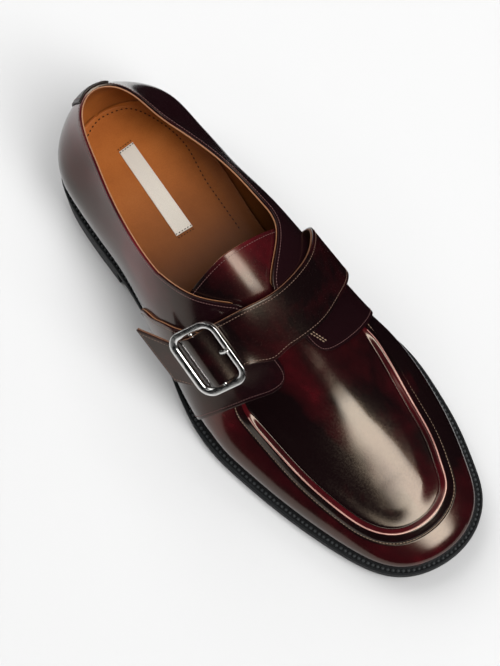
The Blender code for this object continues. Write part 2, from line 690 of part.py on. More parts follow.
def main():
    clear_scene()
    polished = leather("burgundy_leather", (0.045, 0.006, 0.010), 0.18)
    black = leather("black_leather", (0.010, 0.009, 0.010), 0.30)
    edge_ink = leather("black_sole_edge", (0.014, 0.015, 0.015), 0.50)
    rubber = leather("heel_rubber", (0.012, 0.012, 0.012), 0.75)
    tan = leather("tan_insole_leather", (0.300, 0.120, 0.035), 0.55)
    steel = leather("nickel_plate", (0.72, 0.71, 0.69), 0.15, 1.0)
    build_sole(rubber, edge_ink, tan)
    build_welt(edge_ink)
    build_upper(polished)
    build_tongue(polished)
    build_tab(polished)
    strap = build_strap(polished)
    build_backstay(black)
    build_buckle(steel, strap)
    settle()


main()
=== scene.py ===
"""Polished leather loafer with a buckled strap over the instep, the wearer's right shoe.

Lengths are in millimetres on the last, whose heel is at y = 0 and whose toe is at y = 295; a
mesh is scaled to metres and brought to the frame's place when it is made.
"""
import math

import bmesh
import bpy
import numpy as np
from mathutils import Matrix, Vector


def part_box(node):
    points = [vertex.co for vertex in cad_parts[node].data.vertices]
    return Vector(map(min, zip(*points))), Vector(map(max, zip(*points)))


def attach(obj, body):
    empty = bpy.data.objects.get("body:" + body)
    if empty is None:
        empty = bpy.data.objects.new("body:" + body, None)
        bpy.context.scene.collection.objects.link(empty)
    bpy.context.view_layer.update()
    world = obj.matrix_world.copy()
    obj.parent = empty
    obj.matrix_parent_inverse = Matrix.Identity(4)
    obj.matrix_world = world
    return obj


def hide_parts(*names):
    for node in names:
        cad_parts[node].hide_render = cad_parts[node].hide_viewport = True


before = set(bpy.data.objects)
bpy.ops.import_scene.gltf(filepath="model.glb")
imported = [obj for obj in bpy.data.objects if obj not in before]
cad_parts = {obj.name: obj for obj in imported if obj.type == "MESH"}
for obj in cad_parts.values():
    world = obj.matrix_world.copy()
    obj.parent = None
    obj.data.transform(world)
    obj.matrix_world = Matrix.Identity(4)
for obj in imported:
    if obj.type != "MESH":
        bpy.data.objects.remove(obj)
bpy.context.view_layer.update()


# ---------------------------------------------------------------------------------------------
# The last
# The foot form that every piece is cut for. Upright ribs start on the feather line, where the
# upper meets the sole, bulge out, turn over the shoulder and end on the crown line.

MM = 0.001
FOOT_BACK, FOOT_TIP = 1.0, 295.0
CROWN_BACK, CROWN_FRONT = 40.0, 252.0
CROWN_EASE = 8.0
TREAD_BACK, TREAD_FRONT = 178.0, 226.0
HEEL_BREAST, HEEL_HEIGHT = 76.0, 21.0
TOE_SPRING = 6.5
OUTSOLE, WELT, GAP = 6.0, 3.0, 0.3
FEATHER_HEIGHT = OUTSOLE + WELT + 2 * GAP
SKIN_RIBS, SKIN_STEPS = 1440, 240
RIB_STEPS = 300                      # steps used to measure a rib, up to its shoulder and past it

# side, y, x of the feather line, bulge outward, height of the bulge,
# shoulder inward from the feather, height of the shoulder, how far the throat is closed
LAST = [
    ("mid", 1, 0.0, 4.0, 52.0, 4.5, 86.0, 0.0),
    ("lateral", 10, 24.6, 2.8, 50.0, 12.6, 84.5, 0.0),
    ("lateral", 25, 34.5, 2.0, 48.0, 15.8, 81.0, 0.0),
    ("lateral", 40, 37.2, 1.2, 46.0, 14.5, 79.0, 0.0),
    ("lateral", 60, 38.2, 1.2, 45.0, 11.2, 77.0, 0.0),
    ("lateral", 80, 38.6, 1.6, 44.0, 8.9, 76.0, 0.0),
    ("lateral", 100, 40.3, 2.4, 42.0, 9.8, 78.5, 0.0),
    ("lateral", 120, 43.0, 3.0, 38.0, 12.5, 80.0, 0.18),
    ("lateral", 140, 47.5, 2.5, 33.0, 12.5, 71.0, 0.66),
    ("lateral", 160, 51.0, 2.0, 27.0, 14.5, 57.0, 1.0),
    ("lateral", 180, 51.3, 1.8, 22.0, 17.0, 43.5, 1.0),
    ("lateral", 200, 48.3, 1.6, 19.0, 16.0, 37.0, 1.0),
    ("lateral", 222, 43.5, 1.5, 18.0, 13.5, 33.0, 1.0),
    ("lateral", 245, 37.0, 1.5, 17.2, 11.5, 30.9, 1.0),
    ("lateral", 265, 30.0, 1.5, 17.0, 10.6, 29.8, 1.0),
    ("lateral", 280, 22.5, 1.5, 17.5, 12.7, 29.0, 1.0),
    ("lateral", 290, 12.0, 1.5, 18.3, 15.0, 28.6, 1.0),
    ("mid", 295, -8.0, 1.5, 18.8, 16.5, 28.6, 1.0),
    ("medial", 290, -27.0, 1.1, 18.3, 16.5, 28.6, 1.0),
    ("medial", 280, -37.0, 1.0, 17.5, 15.0, 29.0, 1.0),
    ("medial", 265, -43.0, 1.1, 17.0, 13.6, 29.8, 1.0),
    ("medial", 245, -48.5, 1.3, 17.2, 13.5, 31.4, 1.0),
    ("medial", 222, -51.7, 1.6, 19.0, 13.7, 33.5, 1.0),
    ("medial", 200, -52.8, 1.8, 20.0, 12.2, 37.5, 1.0),
    ("medial", 180, -50.2, 2.4, 25.0, 8.8, 43.5, 1.0),
    ("medial", 160, -44.5, 4.5, 34.0, 4.0, 58.0, 1.0),
    ("medial", 140, -39.2, 6.5, 43.0, 0.9, 73.0, 0.70),
    ("medial", 120, -36.0, 7.2, 50.0, 0.5, 85.0, 0.10),
    ("medial", 100, -35.0, 7.0, 52.0, 0.5, 84.0, 0.0),
    ("medial", 80, -36.4, 3.9, 50.0, 2.9, 78.5, 0.0),
    ("medial", 60, -37.7, 1.9, 47.0, 8.3, 76.5, 0.0),
    ("medial", 40, -37.2, 1.2, 46.0, 14.0, 77.5, 0.0),
    ("medial", 25, -34.5, 2.0, 48.0, 16.0, 80.5, 0.0),
    ("medial", 10, -24.6, 2.8, 50.0, 12.6, 84.0, 0.0),
]
# Crown line: y, x, z
CROWN = [
    (40, 0.0, 160.0), (60, 0.0, 150.0), (80, 0.0, 134.0), (100, 0.0, 116.0), (112, -0.5, 108.5),
    (125, -1.5, 103.0), (140, -3.0, 96.0), (155, -4.5, 86.0), (170, -5.5, 73.5), (185, -6.5, 61.5),
    (200, -7.0, 51.5), (215, -7.5, 43.5), (235, -8.0, 35.8), (252, -8.0, 31.5),
]
# How far the welt stands out: y, outer side, inner side
WELT_REACH = [
    (-5, 3.0, 3.0), (60, 3.0, 3.0), (100, 3.0, 2.6), (140, 4.2, 2.4), (165, 5.4, 2.6),
    (185, 5.8, 3.6), (205, 5.7, 4.8), (235, 5.5, 5.2), (270, 5.2, 5.2), (300, 5.0, 5.0),
]


def smooth_curve(knots, values):
    """A natural cubic spline through the knots, as a function of a number or an array."""
    knots, values = np.asarray(knots, float), np.asarray(values, float)
    gaps = np.diff(knots)
    count = len(knots)
    system, target = np.eye(count), np.zeros(count)
    for i in range(1, count - 1):
        system[i, i - 1:i + 2] = gaps[i - 1], 2 * (gaps[i - 1] + gaps[i]), gaps[i]
        target[i] = 6 * ((values[i + 1] - values[i]) / gaps[i] - (values[i] - values[i - 1]) / gaps[i - 1])
    bend = np.linalg.solve(system, target)

    def read(at):
        at = np.clip(at, knots[0], knots[-1])
        i = np.clip(np.searchsorted(knots, at) - 1, 0, count - 2)
        before = (knots[i + 1] - at) / gaps[i]
        after = 1 - before
        bent = (before ** 3 - before) * bend[i] + (after ** 3 - after) * bend[i + 1]
        return before * values[i] + after * values[i + 1] + bent * gaps[i] ** 2 / 6

    return read


def column_of(table, column):
    """A spline of one column of a table over its first column."""
    return smooth_curve([row[0] for row in table], [row[column] for row in table])


def turn_at(side, y):
    """Angle round the shoe: 0 at the heel, pi at the toe; side is 1 for outer and -1 for inner."""
    turn = np.arccos(1 - 2 * (np.asarray(y, float) - FOOT_BACK) / (FOOT_TIP - FOOT_BACK))
    return np.where(np.asarray(side) < 0, 2 * math.pi - turn, turn)


def around_the_last(column):
    """A closed spline of one column of LAST, as a function of the angle round the shoe."""
    turns = [float(turn_at(-1 if row[0] == "medial" else 1, row[1])) for row in LAST]
    knots = [turn + 2 * math.pi * lap for lap in (-1, 0, 1) for turn in turns]
    curve = smooth_curve(knots, [row[column] for row in LAST] * 3)
    return lambda turn: curve(np.asarray(turn) % (2 * math.pi))


foot_x, bulge_out, bulge_z, shoulder_in, shoulder_z, throat_closed = (around_the_last(c) for c in range(2, 8))
crown_x, crown_z = column_of(CROWN, 1), column_of(CROWN, 2)
welt_lateral, welt_medial = column_of(WELT_REACH, 1), column_of(WELT_REACH, 2)


def ease(value, start, end):
    share = np.clip((np.asarray(value, float) - start) / (end - start), 0.0, 1.0)
    return share * share * (3 - 2 * share)


def foot_y(turn):
    return FOOT_BACK + (FOOT_TIP - FOOT_BACK) * (1 - np.cos(turn)) / 2


def sole_rise(y):
    """Height of the outsole's underside: heel seat, arch, flat tread, toe spring."""
    y = np.asarray(y, float)
    toe = TOE_SPRING * (np.maximum(y - TREAD_FRONT, 0) / (300.0 - TREAD_FRONT)) ** 1.8
    share = np.clip((TREAD_BACK - y) / (TREAD_BACK - HEEL_BREAST), 0.0, 1.0)
    return toe + HEEL_HEIGHT * share ** 3 * (10 - 15 * share + 6 * share ** 2)


def outline(turn, reach):
    """Plan position at a distance outside the feather line."""
    turn = np.asarray(turn, float)
    step = 0.01
    along_x = foot_x(turn + step) - foot_x(turn - step)
    along_y = foot_y(turn + step) - foot_y(turn - step)
    length = np.hypot(along_x, along_y)
    return np.stack([foot_x(turn) + along_y / length * reach, foot_y(turn) - along_x / length * reach], -1)


def welt_reach(turn):
    y = foot_y(turn)
    return np.where(np.asarray(turn) % (2 * math.pi) > math.pi, welt_medial(y), welt_lateral(y))


def walked(path):
    """Distance covered at each point of a path."""
    return np.concatenate([[0.0], np.cumsum(np.linalg.norm(np.diff(path, axis=0), axis=1))])


def measure_rib(turn):
    """One rib as points at equal steps along it, its length, and the distance to its shoulder."""
    x, y = float(foot_x(turn)), float(foot_y(turn))
    back = CROWN_EASE * float(np.logaddexp(0.0, (y - CROWN_BACK) / CROWN_EASE))
    front = CROWN_EASE * float(np.logaddexp(0.0, (y - CROWN_FRONT) / CROWN_EASE))
    station = CROWN_BACK + back - front
    top = np.array([float(crown_x(station)), station])
    reach = math.hypot(top[0] - x, top[1] - y)
    inward = (top - [x, y]) / reach
    run = np.array([0.0, -float(bulge_out(turn)), float(shoulder_in(turn)), reach])
    rise = np.array([float(sole_rise(y)) + FEATHER_HEIGHT, float(bulge_z(turn)), float(shoulder_z(turn)),
                     float(crown_z(station))])
    knots = np.concatenate([[0.0], np.cumsum(np.hypot(np.diff(run), np.diff(rise)) ** 0.8)])
    both = np.r_[knots, 2 * knots[-1] - knots[-2::-1]]
    at = np.r_[np.linspace(0, knots[2], RIB_STEPS), np.linspace(knots[2], knots[3], RIB_STEPS)[1:]]
    steps = smooth_curve(both, np.r_[run, 2 * reach - run[-2::-1]])(at)
    heights = smooth_curve(both, np.r_[rise, rise[-2::-1]])(at)
    points = np.stack([x + inward[0] * steps, y + inward[1] * steps, heights], 1)
    lengths = walked(points)
    equal = np.linspace(0, lengths[-1], SKIN_STEPS + 1)
    skin = np.stack([np.interp(equal, lengths, points[:, k]) for k in range(3)], 1)
    return skin, lengths[-1], lengths[RIB_STEPS - 1]


measured = [measure_rib(2 * math.pi * i / SKIN_RIBS) for i in range(SKIN_RIBS)]
SKIN = np.array([rib[0] for rib in measured])
RIB_LENGTH = np.array([rib[1] for rib in measured])
RIB_SHOULDER = np.array([rib[2] for rib in measured])


APRON_MIDDLE, APRON_SPAN = (-8.0, 225.0), (50.0, 70.0)
APRON_BACK = 168.0


def power_terms(points):
    """Powers of x and y up to the fifth order, which a smooth sheet is made of."""
    x, y = ((points[..., k] - APRON_MIDDLE[k]) / APRON_SPAN[k] for k in range(2))
    return np.stack([x ** i * y ** j for i in range(6) for j in range(6 - i)], -1)


# The ribs of the two sides would meet in a crease down the apron, so its top is one smooth sheet
past_shoulder = np.linspace(0, 1, SKIN_STEPS + 1)[None, :] * RIB_LENGTH[:, None] - RIB_SHOULDER[:, None]
apron_part = (past_shoulder > 5.0) & (SKIN[..., 1] > APRON_BACK)
sheet_powers, *_ = np.linalg.lstsq(power_terms(SKIN[apron_part]), SKIN[apron_part][:, 2], rcond=None)
eased_in = ease(past_shoulder, 3.0, 15.0) * ease(SKIN[..., 1], 166.0, 184.0)
SKIN[..., 2] += eased_in * (power_terms(SKIN) @ sheet_powers - SKIN[..., 2])

# The apron is domed over the toes: y and half its width there
APRON_HALF = [
    (180, 38.5), (196, 36.5), (212, 35.0), (228, 33.4), (240, 31.4), (252, 28.0), (262, 24.6),
    (272, 18.4), (279, 12.0), (290, 9.0),
]
DOME, DOME_X, APRON_X = 2.1, -9.0, -4.8
apron_half = column_of(APRON_HALF, 1)
dome_y = np.clip(SKIN[..., 1], 180.0, 290.0)
dome_x = SKIN[..., 0] - DOME_X
dome_reach = apron_half(dome_y) + np.sign(dome_x) * (APRON_X - DOME_X)
dome = DOME * ease(dome_y, 196.0, 248.0) * (1 - ease(dome_y, 252.0, 284.0))
dome = dome * np.clip(1 - (dome_x / dome_reach) ** 2, 0.0, None) ** 2


def leaning(amount, middle, width):
    """Height that tilts the apron towards the outer side round a middle."""
    off = SKIN[..., 0] - middle
    return -amount * off * np.exp(-(off / width) ** 2)


# The foot's ridge runs to the big toe, so the apron leans outward below the strap and over the toes
LEAN_BELOW_STRAP, LEAN_OVER_TOES = 0.17, 0.085
below_strap = ease(SKIN[..., 1], 150.0, 186.0) * (1 - ease(SKIN[..., 1], 188.0, 228.0))
lean = leaning(LEAN_BELOW_STRAP * below_strap, 0.0, 22.0)
lean += leaning(LEAN_OVER_TOES * ease(SKIN[..., 1], 204.0, 242.0), 4.0, 26.0)
SKIN[..., 2] += ease(past_shoulder, 3.0, 12.0) * (dome + lean)


def read_ring(ring, turn):
    """A number that is known on each rib, read between the ribs."""
    at = (np.asarray(turn, float) / (2 * math.pi) * SKIN_RIBS) % SKIN_RIBS
    low = np.floor(at).astype(int)
    share = at - low
    return ring[low % SKIN_RIBS] * (1 - share) + ring[(low + 1) % SKIN_RIBS] * share


def read_skin(turn, share):
    """Points of the last, by a cubic blend of the ribs; share is 0 at the feather, 1 at the crown."""
    u = (np.asarray(turn, float) / (2 * math.pi) * SKIN_RIBS) % SKIN_RIBS
    v = np.clip(np.asarray(share, float), 0.0, 1.0) * SKIN_STEPS
    i, j = np.floor(u).astype(int), np.minimum(np.floor(v).astype(int), SKIN_STEPS - 1)

    def weights(t):
        return ((-t + 2 * t ** 2 - t ** 3) / 2, (2 - 5 * t ** 2 + 3 * t ** 3) / 2,
                (t + 4 * t ** 2 - 3 * t ** 3) / 2, (t ** 3 - t ** 2) / 2)

    across, up = weights(u - i), weights(v - j)
    total = 0.0
    for a in range(4):
        for b in range(4):
            row = np.clip(j + b - 1, 0, SKIN_STEPS)
            total = total + SKIN[(i + a - 1) % SKIN_RIBS, row] * (across[a] * up[b])[..., None]
    return total


def on_last(turn, share, lift=0.0):
    """Points at a height over the last, and the normals there."""
    turn, share = np.broadcast_arrays(np.asarray(turn, float), np.asarray(share, float))
    du, dv = 0.004, 0.006
    round_ = read_skin(turn + du, share) - read_skin(turn - du, share)
    up = read_skin(turn, np.minimum(share + dv, 1.0)) - read_skin(turn, np.maximum(share - dv, 0.0))
    normal = np.cross(round_, up)
    normal /= np.linalg.norm(normal, axis=-1)[..., None]
    return read_skin(turn, share) + normal * np.asarray(lift)[..., None], normal


def across_last(reach, y, lift=0.0):
    """The same by reach across: -1 is the inner feather line, 0 the crown, 1 the outer one."""
    reach, y = np.broadcast_arrays(np.asarray(reach, float), np.asarray(y, float))
    return on_last(turn_at(np.where(reach < 0, -1, 1), y), 1 - np.abs(reach), lift)


# The frame's outsole, which has 61 rungs on each side, gives the place of the last in the frame
rung_turns = np.concatenate([np.linspace(0, math.pi, 61), -np.linspace(0, math.pi, 61)])
rungs = outline(rung_turns, welt_reach(rung_turns))
outsole_box = np.array(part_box("outsole"))[:, :2] / MM
HOME = np.append(outsole_box.mean(axis=0) - (rungs.min(axis=0) + rungs.max(axis=0)) / 2, 0.0)


# ---------------------------------------------------------------------------------------------
# Outsole
# Black sole leather, 6 mm thick, cut to the welt's edge, its edge inked and burnished. It is
# flat under the tread, rises over the arch to the heel and springs up a little at the toe.

SOLE_RINGS, SOLE_STRIPS = 420, 8


def material_of(name, colour, roughness, **values):
    """A material whose shader has the values that are the same all over the surface."""
    material = bpy.data.materials.new(name)
    material.use_nodes = True
    shader = material.node_tree.nodes["Principled BSDF"]
    shader.inputs["Base Color"].default_value = (*colour, 1.0)
    shader.inputs["Roughness"].default_value = roughness
    for socket, value in values.items():
        shader.inputs[socket.replace("_", " ")].default_value = value
    return material


def add_node(owner, kind, links=(), **settings):
    """A node of a material or a lamp. Links are pairs of an input and what it reads: an output or a value."""
    node = owner.node_tree.nodes.new(kind)
    for name, value in settings.items():
        setattr(node, name, value)
    for socket, source in links:
        if isinstance(source, bpy.types.NodeSocket):
            owner.node_tree.links.new(source, node.inputs[socket])
        else:
            node.inputs[socket].default_value = source
    return node


def calculate(owner, operation, first, second):
    """The output of a sum or a product; each side is an output or a number."""
    return add_node(owner, "ShaderNodeMath", [(0, first), (1, second)], operation=operation).outputs[0]


def link(material, source, socket):
    material.node_tree.links.new(source, material.node_tree.nodes["Principled BSDF"].inputs[socket])


def colour_ramp(material, source, stops):
    """Colours over a value: stops are (position, (r, g, b)) pairs."""
    ramp = add_node(material, "ShaderNodeValToRGB", [("Fac", source)])
    while len(ramp.color_ramp.elements) < len(stops):
        ramp.color_ramp.elements.new(0.5)
    for element, (position, colour) in zip(ramp.color_ramp.elements, stops):
        element.position = position
        element.color = (*colour, 1.0)
    return ramp.outputs["Color"]


def spread(material, source, low, high, to_low, to_high):
    """A value moved from one range to another."""
    return add_node(material, "ShaderNodeMapRange", [
        ("Value", source), ("From Min", low), ("From Max", high), ("To Min", to_low), ("To Max", to_high),
    ]).outputs["Result"]


def speckle(material, scale, detail=4.0, stretch=(1.0, 1.0, 1.0), roughness=0.5):
    """Noise on the piece's own coordinates, in cells per metre."""
    place = add_node(material, "ShaderNodeTexCoord").outputs["Object"]
    mapping = add_node(material, "ShaderNodeMapping", [("Vector", place), ("Scale", stretch)])
    return add_node(material, "ShaderNodeTexNoise", [
        ("Vector", mapping.outputs["Vector"]), ("Scale", scale), ("Detail", detail), ("Roughness", roughness),
    ]).outputs["Fac"]


def relief(material, height, depth):
    """Bump from a height value; depth is in millimetres."""
    bump = add_node(material, "ShaderNodeBump",
                    [("Height", height), ("Strength", 1.0), ("Distance", depth * MM)])
    link(material, bump.outputs["Normal"], "Normal")


def put(name, data):
    thing = bpy.data.objects.new(name, data)
    bpy.context.scene.collection.objects.link(thing)
    return thing


def declare(piece, nodes=()):
    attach(piece, "root")
    if nodes:
        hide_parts(*nodes)


def finish_piece(name, points, faces, materials, nodes=(), angle=40.0, faced=None, burnish_and_painted_light=None):
    """A mesh piece in the frame, from points in millimetres on the last.

    Faced gives each face the number of its material, and the black-share argument gives each point its share
    of black, which also carries painted light and shade.
    """
    mesh = bpy.data.meshes.new(name)
    placed = (np.asarray(points, float) + HOME) * MM
    mesh.from_pydata([tuple(spot) for spot in placed], [], [tuple(int(v) for v in face) for face in faces])
    for material in materials:
        mesh.materials.append(material)
    if faced is not None:
        mesh.polygons.foreach_set("material_index", np.asarray(faced, np.int32))
    if burnish_and_painted_light is not None:
        layer = mesh.attributes.new("burnish_and_painted_light", "FLOAT", "POINT")
        layer.data.foreach_set("value", np.asarray(burnish_and_painted_light, np.float32).ravel())
    mesh.validate()
    piece = put(name, mesh)
    form = bmesh.new()
    form.from_mesh(mesh)
    bmesh.ops.remove_doubles(form, verts=form.verts, dist=2e-6)
    bmesh.ops.recalc_face_normals(form, faces=form.faces)
    form.to_mesh(mesh)
    form.free()
    mesh.shade_smooth()
    mesh.set_sharp_from_angle(angle=math.radians(angle))
    declare(piece, nodes)
    return piece


def section_ring(profile, rings):
    """Points of a section carried round the shoe; profile(turn) gives its (reach, height) rows."""
    turns = np.arange(rings) * 2 * math.pi / rings
    rows = np.array([profile(turn) for turn in turns])
    return np.concatenate([outline(turns[:, None], rows[..., 0]), rows[..., 1:]], -1)


def outsole_profile(turn):
    """From the middle of the underside outward, up the edge and back to the middle of the top."""
    reach = float(welt_reach(turn))
    base = float(sole_rise(foot_y(turn)))
    rows = [(-9.0, 0.0), (reach - 5.6, 0.0), (reach - 5.0, 0.5), (reach - 4.2, 0.5), (reach - 3.6, 0.0),
            (reach - 1.1, 0.0), (reach - 0.45, 0.18), (reach - 0.1, 0.6), (reach, 1.2), (reach, 3.2),
            (reach, 5.1), (reach - 0.15, 5.6), (reach - 0.5, 5.95), (-2.0, OUTSOLE)]
    return [(a, base + b) for a, b in rows]


def ladder(points, count, row):
    """Faces of strips across the sole that join one row of its two sides; their points are added."""
    rungs = []
    for i in range(SOLE_RINGS // 2 + 1):
        a, b = i * count + row, ((SOLE_RINGS - i) % SOLE_RINGS) * count + row
        between = [] if a == b else [points[a] + (points[b] - points[a]) * k / SOLE_STRIPS
                                     for k in range(1, SOLE_STRIPS)]
        rung = [a, *range(len(points), len(points) + len(between)), b]
        rungs.append(rung if between else [a] * (SOLE_STRIPS + 1))
        points += between
    for here, ahead in zip(rungs, rungs[1:]):
        for k in range(SOLE_STRIPS):
            corners = dict.fromkeys((here[k], here[k + 1], ahead[k + 1], ahead[k]))
            yield list(corners)


edge_ink = material_of("sole_edge_ink", (0.007, 0.0075, 0.008), 0.46, Specular_IOR_Level=0.2)
ink_streaks = speckle(edge_ink, 900.0, 5.0, (1.0, 1.0, 0.35))
ink_shades = [(0.3, (0.0045, 0.0048, 0.0052)), (0.75, (0.011, 0.012, 0.013))]
link(edge_ink, colour_ramp(edge_ink, ink_streaks, ink_shades), "Base Color")
link(edge_ink, spread(edge_ink, ink_streaks, 0.3, 0.7, 0.58, 0.76), "Roughness")
relief(edge_ink, ink_streaks, 0.06)

sole_ring = section_ring(outsole_profile, SOLE_RINGS)
sole_rows = sole_ring.shape[1]
sole_points = list(sole_ring.reshape(-1, 3))
sole_faces = []
for i in range(SOLE_RINGS):
    here, ahead = i * sole_rows, (i + 1) % SOLE_RINGS * sole_rows
    sole_faces += [(here + j, ahead + j, ahead + j + 1, here + j + 1) for j in range(sole_rows - 1)]
for row in (0, sole_rows - 1):
    sole_faces += ladder(sole_points, sole_rows, row)
finish_piece("outsole_leather", sole_points, sole_faces, [edge_ink], ["outsole"])


# ---------------------------------------------------------------------------------------------
# Heel
# A stack of three leather lifts under the seat, trimmed flush with the sole and inked black,
# with a rubber top lift under it. The breast is scooped a little.

HEEL_POINTS = 130
BREAST_POINTS = 40
BREAST_SCOOP = 2.4
TOP_LIFT = 6.0
LIFTS = 3
GROOVE = 0.22                        # between two lifts
# height and inset of the rubber's edge, from the bottom up
RUBBER_EDGE = [(0.0, 0.9), (0.25, 0.35), (0.8, 0.05), (5.3, 0.0), (TOP_LIFT, 0.25)]


def heel_ring(inset):
    """The heel's outline in plan, moved inward by inset."""
    end = float(turn_at(1, HEEL_BREAST - inset * 0.2))
    turns = np.linspace(-end, end, HEEL_POINTS)
    arc = outline(turns, welt_reach(turns) - inset)
    share = np.linspace(0, 1, BREAST_POINTS + 2)[1:-1, None]
    breast = arc[-1] + (arc[0] - arc[-1]) * share
    breast[:, 1:] -= BREAST_SCOOP * 4 * share * (1 - share) + inset * 0.5
    return np.concatenate([arc, breast])


def heel_layer(name, levels, material, nodes):
    """Stacked outlines, levels are (height, inset) rows from the bottom up."""
    points, faces = [], []
    for height, inset in levels:
        ring = heel_ring(inset)
        points += [(x, y, height) for x, y in ring]
    count = HEEL_POINTS + BREAST_POINTS
    for i in range(len(levels) - 1):
        for k in range(count):
            after = (k + 1) % count
            faces.append((i * count + k, i * count + after, (i + 1) * count + after, (i + 1) * count + k))
    faces.append(tuple(reversed(range(count))))
    faces.append(tuple(range((len(levels) - 1) * count, len(levels) * count)))
    finish_piece(name, points, faces, [material], nodes, 30.0)


rubber = material_of("heel_rubber", (0.013, 0.013, 0.013), 0.72, Specular_IOR_Level=0.4)
rubber_grain = speckle(rubber, 1800.0, 6.0)
link(rubber, spread(rubber, rubber_grain, 0.3, 0.7, 0.62, 0.82), "Roughness")
relief(rubber, rubber_grain, 0.05)

heel_layer("heel_top_lift_rubber", RUBBER_EDGE, rubber, ["heel_top_lift"])
stack_levels = []
lift_height = (HEEL_HEIGHT - GAP - TOP_LIFT - GAP) / LIFTS
for lift in range(LIFTS):
    bottom = TOP_LIFT + GAP + lift * lift_height
    stack_levels += [(bottom, GROOVE), (bottom + 0.18, 0.0), (bottom + lift_height - 0.18, 0.0)]
stack_levels.append((HEEL_HEIGHT - GAP, 0.15))
heel_layer("heel_lifts", stack_levels, edge_ink, ["heel_stack"])


# ---------------------------------------------------------------------------------------------
# Welt
# A black leather strip sewn round the edge of the upper. A channel is cut in it close to the
# upper, and the lock stitches that hold the outsole lie in the channel, all round the shoe.

WELT_RINGS = 720
WELT_STITCH_PITCH = 2.7
WELT_TOP = OUTSOLE + GAP + WELT
NARROW_WELT = 5.0                    # reach below which the channel lies closer to the upper


def stitch_tree():
    """Geometry nodes that lay stitches along a path whose points carry the surface's normal."""
    tree = bpy.data.node_groups.new("stitches_along_a_path", "GeometryNodeTree")
    tree.interface.new_socket("Path", in_out="INPUT", socket_type="NodeSocketGeometry")
    for name, value in (("Pitch", 2.5), ("Length", 2.0), ("Thickness", 0.6), ("Sink", 0.1)):
        socket = tree.interface.new_socket(name, in_out="INPUT", socket_type="NodeSocketFloat")
        socket.default_value = value * MM
    tree.interface.new_socket("Thread", in_out="INPUT", socket_type="NodeSocketMaterial")
    tree.interface.new_socket("Stitches", in_out="OUTPUT", socket_type="NodeSocketGeometry")

    def node(kind, links=(), **settings):
        made = tree.nodes.new(kind)
        for name, value in settings.items():
            setattr(made, name, value)
        for socket, source in links:
            tree.links.new(source, made.inputs[socket])
        return made

    group = node("NodeGroupInput").outputs
    curve = node("GeometryNodeMeshToCurve", [("Mesh", group["Path"])])
    evenly = node("GeometryNodeResampleCurve", [("Curve", curve.outputs[0]), ("Length", group["Pitch"])],
                  mode="LENGTH")
    tangent = node("GeometryNodeInputTangent")
    normal = node("GeometryNodeInputNamedAttribute", data_type="FLOAT_VECTOR")
    normal.inputs["Name"].default_value = "surface_normal"
    upright = node("FunctionNodeAlignRotationToVector", [("Vector", normal.outputs[0])], axis="Z")
    turned = node("FunctionNodeAlignRotationToVector",
                  [("Rotation", upright.outputs[0]), ("Vector", tangent.outputs[0])],
                  axis="X", pivot_axis="Z")
    ball = node("GeometryNodeMeshUVSphere")
    ball.inputs["Segments"].default_value = 8
    ball.inputs["Rings"].default_value = 6
    ball.inputs["Radius"].default_value = 0.5
    smooth = node("GeometryNodeSetShadeSmooth", [("Geometry", ball.outputs["Mesh"])])
    size = node("ShaderNodeCombineXYZ",
                [("X", group["Length"]), ("Y", group["Thickness"]), ("Z", group["Thickness"])])
    laid = node("GeometryNodeInstanceOnPoints", [
        ("Points", evenly.outputs[0]), ("Instance", smooth.outputs[0]), ("Rotation", turned.outputs[0]),
        ("Scale", size.outputs[0])])
    down = node("ShaderNodeMath", [(0, group["Sink"])], operation="MULTIPLY")
    down.inputs[1].default_value = -1.0
    drop = node("ShaderNodeCombineXYZ", [("Z", down.outputs[0])])
    sunk = node("GeometryNodeTranslateInstances",
                [("Instances", laid.outputs[0]), ("Translation", drop.outputs[0])])
    real = node("GeometryNodeRealizeInstances", [("Geometry", sunk.outputs[0])])
    sewn = node("GeometryNodeSetMaterial", [("Geometry", real.outputs[0]), ("Material", group["Thread"])])
    node("NodeGroupOutput", [("Stitches", sewn.outputs[0])])
    return tree


STITCHES = stitch_tree()


def thread_of(name, colour, roughness, **values):
    """Waxed thread with a fine twist."""
    material = material_of(name, colour, roughness, **values)
    relief(material, speckle(material, 4000.0, 2.0), 0.04)
    return material


def sew(name, paths, thread, pitch, length, thickness, sink=0.1, closed=False):
    """Rows of stitches. Each path is a pair of arrays: points in millimetres on the last, and normals."""
    spots, normals, edges = [], [], []
    for path, upward in paths:
        start = len(spots)
        spots += [tuple(spot) for spot in (np.asarray(path) + HOME) * MM]
        normals += [tuple(normal) for normal in upward]
        edges += [(start + k, start + k + 1) for k in range(len(path) - 1)]
        if closed:
            edges.append((start + len(path) - 1, start))
    mesh = bpy.data.meshes.new(name + "_path")
    mesh.from_pydata(spots, edges, [])
    layer = mesh.attributes.new("surface_normal", "FLOAT_VECTOR", "POINT")
    layer.data.foreach_set("vector", np.asarray(normals, np.float32).ravel())
    route = put(name + "_path", mesh)
    modifier = route.modifiers.new("stitches", "NODES")
    modifier.node_group = STITCHES
    named = {item.name: item.identifier for item in STITCHES.interface.items_tree
             if item.item_type == "SOCKET" and item.in_out == "INPUT"}
    for label, value in (("Pitch", pitch), ("Length", length), ("Thickness", thickness), ("Sink", sink)):
        modifier[named[label]] = value * MM
    modifier[named["Thread"]] = thread
    depsgraph = bpy.context.evaluated_depsgraph_get()
    made = bpy.data.meshes.new_from_object(route.evaluated_get(depsgraph))
    made.name = name
    row = put(name, made)
    bpy.data.objects.remove(route, do_unlink=True)
    declare(row)


def level_path(plan, heights):
    """A path for stitches that lie flat, from places in plan and heights."""
    return np.concatenate([plan, np.reshape(heights, (-1, 1))], 1), np.tile([0.0, 0.0, 1.0], (len(plan), 1))


